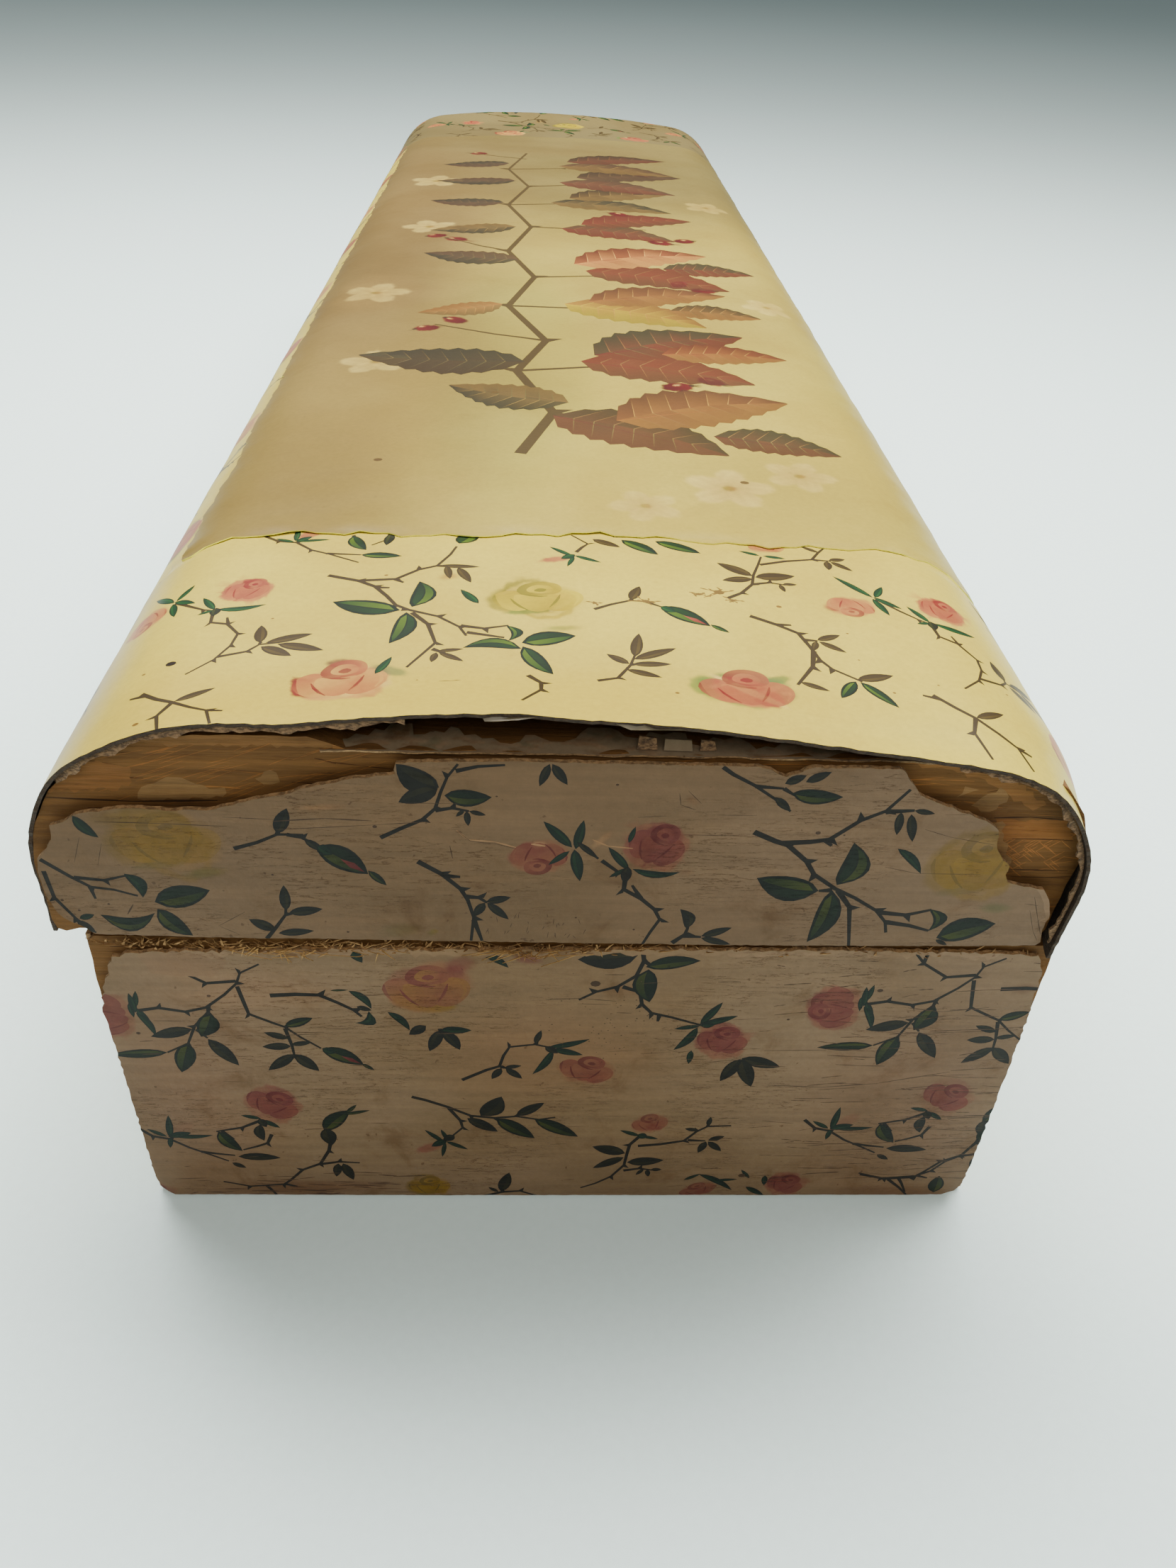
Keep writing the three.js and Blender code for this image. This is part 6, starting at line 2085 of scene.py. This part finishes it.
    def turned_strip(self, looks):
        """The grey paper turned over on to the top of the front board."""
        ink = Ink()
        draw = np.random.default_rng(92)
        for _ in range(90):
            x, v = draw.uniform(-20, 30), draw.uniform(0.0, 2.6)
            ink.wash((x, v), (draw.uniform(0.5, 2.4), draw.uniform(0.1, 0.35)), draw.uniform(-12, 12),
                (0.45, 0.4, 0.35), (1.3, 1.3, 1.3), 0.5, 0.8)
        for _ in range(26):
            x, v = draw.uniform(-20, 28), draw.uniform(0.3, 3.2)
            ink.wash((x, v), (draw.uniform(0.3, 1.2), draw.uniform(0.15, 0.5)), draw.uniform(-30, 30),
                (0.5, 0.75, 0.8), (0.7, 0.85, 0.8), 0.5, 0.8)
        back = [(x, 2.2 + 0.6 * math.sin(x * 0.35) + 0.7 * math.sin(x * 1.1), 0.6) for x in np.linspace(30.5,
            -21, 26)]
        outline = ragged([(-21, 0.0, 0.05), (31, 0.0, 0.05), *back], 19, 0.7)
        top = 60.75
        build_sheet(
            "lid_front_turned_paper", Plane((0, lid_low[1] + 0.9, top), (1, 0, 0), (0, 1, 0)), outline, ink,
            [looks["grey paper"], looks["torn"]], [], lift=lambda u,
            v: 0.08 * waves(u, v, 5, 60) + 0.15 * v - 0.0002 * u * u,
            thickness=0.15,
        )


class GLOVEBOX_OT_stage(bpy.types.Operator):
    """Build the pale floor, the soft lights and the camera"""
    bl_idname = "glove_box.stage"
    bl_label = "Stage"

    def execute(self, context):
        scene = context.scene
        mesh = bpy.data.meshes.new("floor")
        sheet = bmesh.new()
        bmesh.ops.create_grid(sheet, x_segments=1, y_segments=1, size=3.0)
        sheet.to_mesh(mesh)
        sheet.free()
        floor = bpy.data.objects.new("floor", mesh)
        context.collection.objects.link(floor)
        mesh.materials.append(floor_finish(scene.glove_box_colours.floor))
        for name, place, target, size, power, colour in (
            ("overhead", (0.02, 0.07, 0.5), (0.01, 0.03, 0.0), (0.8, 0.26), 11.0, (1.0, 0.99, 0.97)),
            ("background", (0.0, 0.9, 0.9), (0.0, 0.7, 0.0), (1.6, 0.8), 2.0, (0.95, 0.99, 1.0)),
            ("front", (0.0, -0.8, 0.75), (0.0, -0.15, 0.03), (0.8, 0.5), 5.2, (1.0, 0.97, 0.92)),
        ):
            data = bpy.data.lights.new(name, "AREA")
            data.shape = "RECTANGLE"
            data.size, data.size_y = size
            data.energy = power
            data.color = colour
            light = bpy.data.objects.new(name, data)
            aim = (Vector(target) - Vector(place)).to_track_quat("-Z", "Y")
            light.matrix_world = Matrix.Translation(place) @ aim.to_matrix().to_4x4()
            context.collection.objects.link(light)
        world = bpy.data.worlds.new("Room")
        world.use_nodes = True
        world.node_tree.nodes["Background"].inputs["Color"].default_value = (0.85, 0.95, 0.98, 1)
        world.node_tree.nodes["Background"].inputs["Strength"].default_value = 0.2
        scene.world = world
        self.camera(context)
        return {"FINISHED"}

    def camera(self, context):
        yaw, pitch, roll = (math.radians(a) for a in (3.37, 37.002, 2.992))
        ahead = Vector((math.sin(yaw) * math.cos(pitch), math.cos(yaw) * math.cos(pitch), -math.sin(pitch)))
        level = Vector((math.cos(yaw), -math.sin(yaw), 0))
        upward = level.cross(ahead)
        right = level * math.cos(roll) + upward * math.sin(roll)
        up = upward * math.cos(roll) - level * math.sin(roll)
        data = bpy.data.cameras.new("camera")
        data.sensor_fit = "HORIZONTAL"
        data.sensor_width = 36.0
        data.lens = 36.14
        data.clip_start = 0.01
        camera = bpy.data.objects.new("camera", data)
        turn = Matrix((right, up, -ahead)).transposed().to_4x4()
        camera.matrix_world = Matrix.Translation((-0.00387, -0.23561, 0.11664)) @ turn
        context.collection.objects.link(camera)
        context.scene.camera = camera


def floor_finish(colour):
    """The pale board on which the box stands."""
    if "Pale floor" in bpy.data.materials:
        return bpy.data.materials["Pale floor"]
    material, n, shader, place = start_material("Pale floor")
    mottle = n.noise(place, 0.9, 3.0, 0.6)
    tone = n.mix(n.step(mottle, 0.3, 0.7), shaded(colour, 0.975), shaded(colour, 1.0))
    n.tree.links.new(tone, shader.inputs["Base Color"])
    set_values(shader, Roughness=0.75)
    return material


OPERATORS = (
    GLOVEBOX_OT_base_boards, GLOVEBOX_OT_base_sheets, GLOVEBOX_OT_lid_boards, GLOVEBOX_OT_lid_end_sheets,
    GLOVEBOX_OT_lid_borders,
    GLOVEBOX_OT_lid_middle, GLOVEBOX_OT_torn_edges, GLOVEBOX_OT_stage,
)


class GLOVEBOX_PT_panel(bpy.types.Panel):
    """Sizes, colours and building steps of the glove box"""
    bl_label = "Wooden glove box"
    bl_idname = "GLOVEBOX_PT_panel"
    bl_space_type = "VIEW_3D"
    bl_region_type = "UI"
    bl_category = "Glove box"

    def draw(self, context):
        layout = self.layout
        for group in (context.scene.glove_box_sizes, context.scene.glove_box_colours):
            column = layout.column(align=True)
            for name in group.__annotations__:
                column.prop(group, name)
        column = layout.column(align=True)
        for operator in OPERATORS:
            column.operator(operator.bl_idname)


CLASSES = (GloveBoxSizes, GloveBoxColours, *OPERATORS, GLOVEBOX_PT_panel)


def register():
    for item in CLASSES:
        bpy.utils.register_class(item)
    bpy.types.Scene.glove_box_sizes = PointerProperty(type=GloveBoxSizes)
    bpy.types.Scene.glove_box_colours = PointerProperty(type=GloveBoxColours)


def unregister():
    del bpy.types.Scene.glove_box_colours
    del bpy.types.Scene.glove_box_sizes
    for item in reversed(CLASSES):
        bpy.utils.unregister_class(item)


def main():
    """Builds every piece in order and the stage round them."""
    register()
    bpy.ops.glove_box.base_boards()
    bpy.ops.glove_box.base_sheets()
    bpy.ops.glove_box.lid_boards()
    bpy.ops.glove_box.lid_end_sheets()
    bpy.ops.glove_box.lid_borders()
    bpy.ops.glove_box.lid_middle()
    bpy.ops.glove_box.torn_edges()
    bpy.ops.glove_box.stage()


if __name__ == "__main__":
    main()
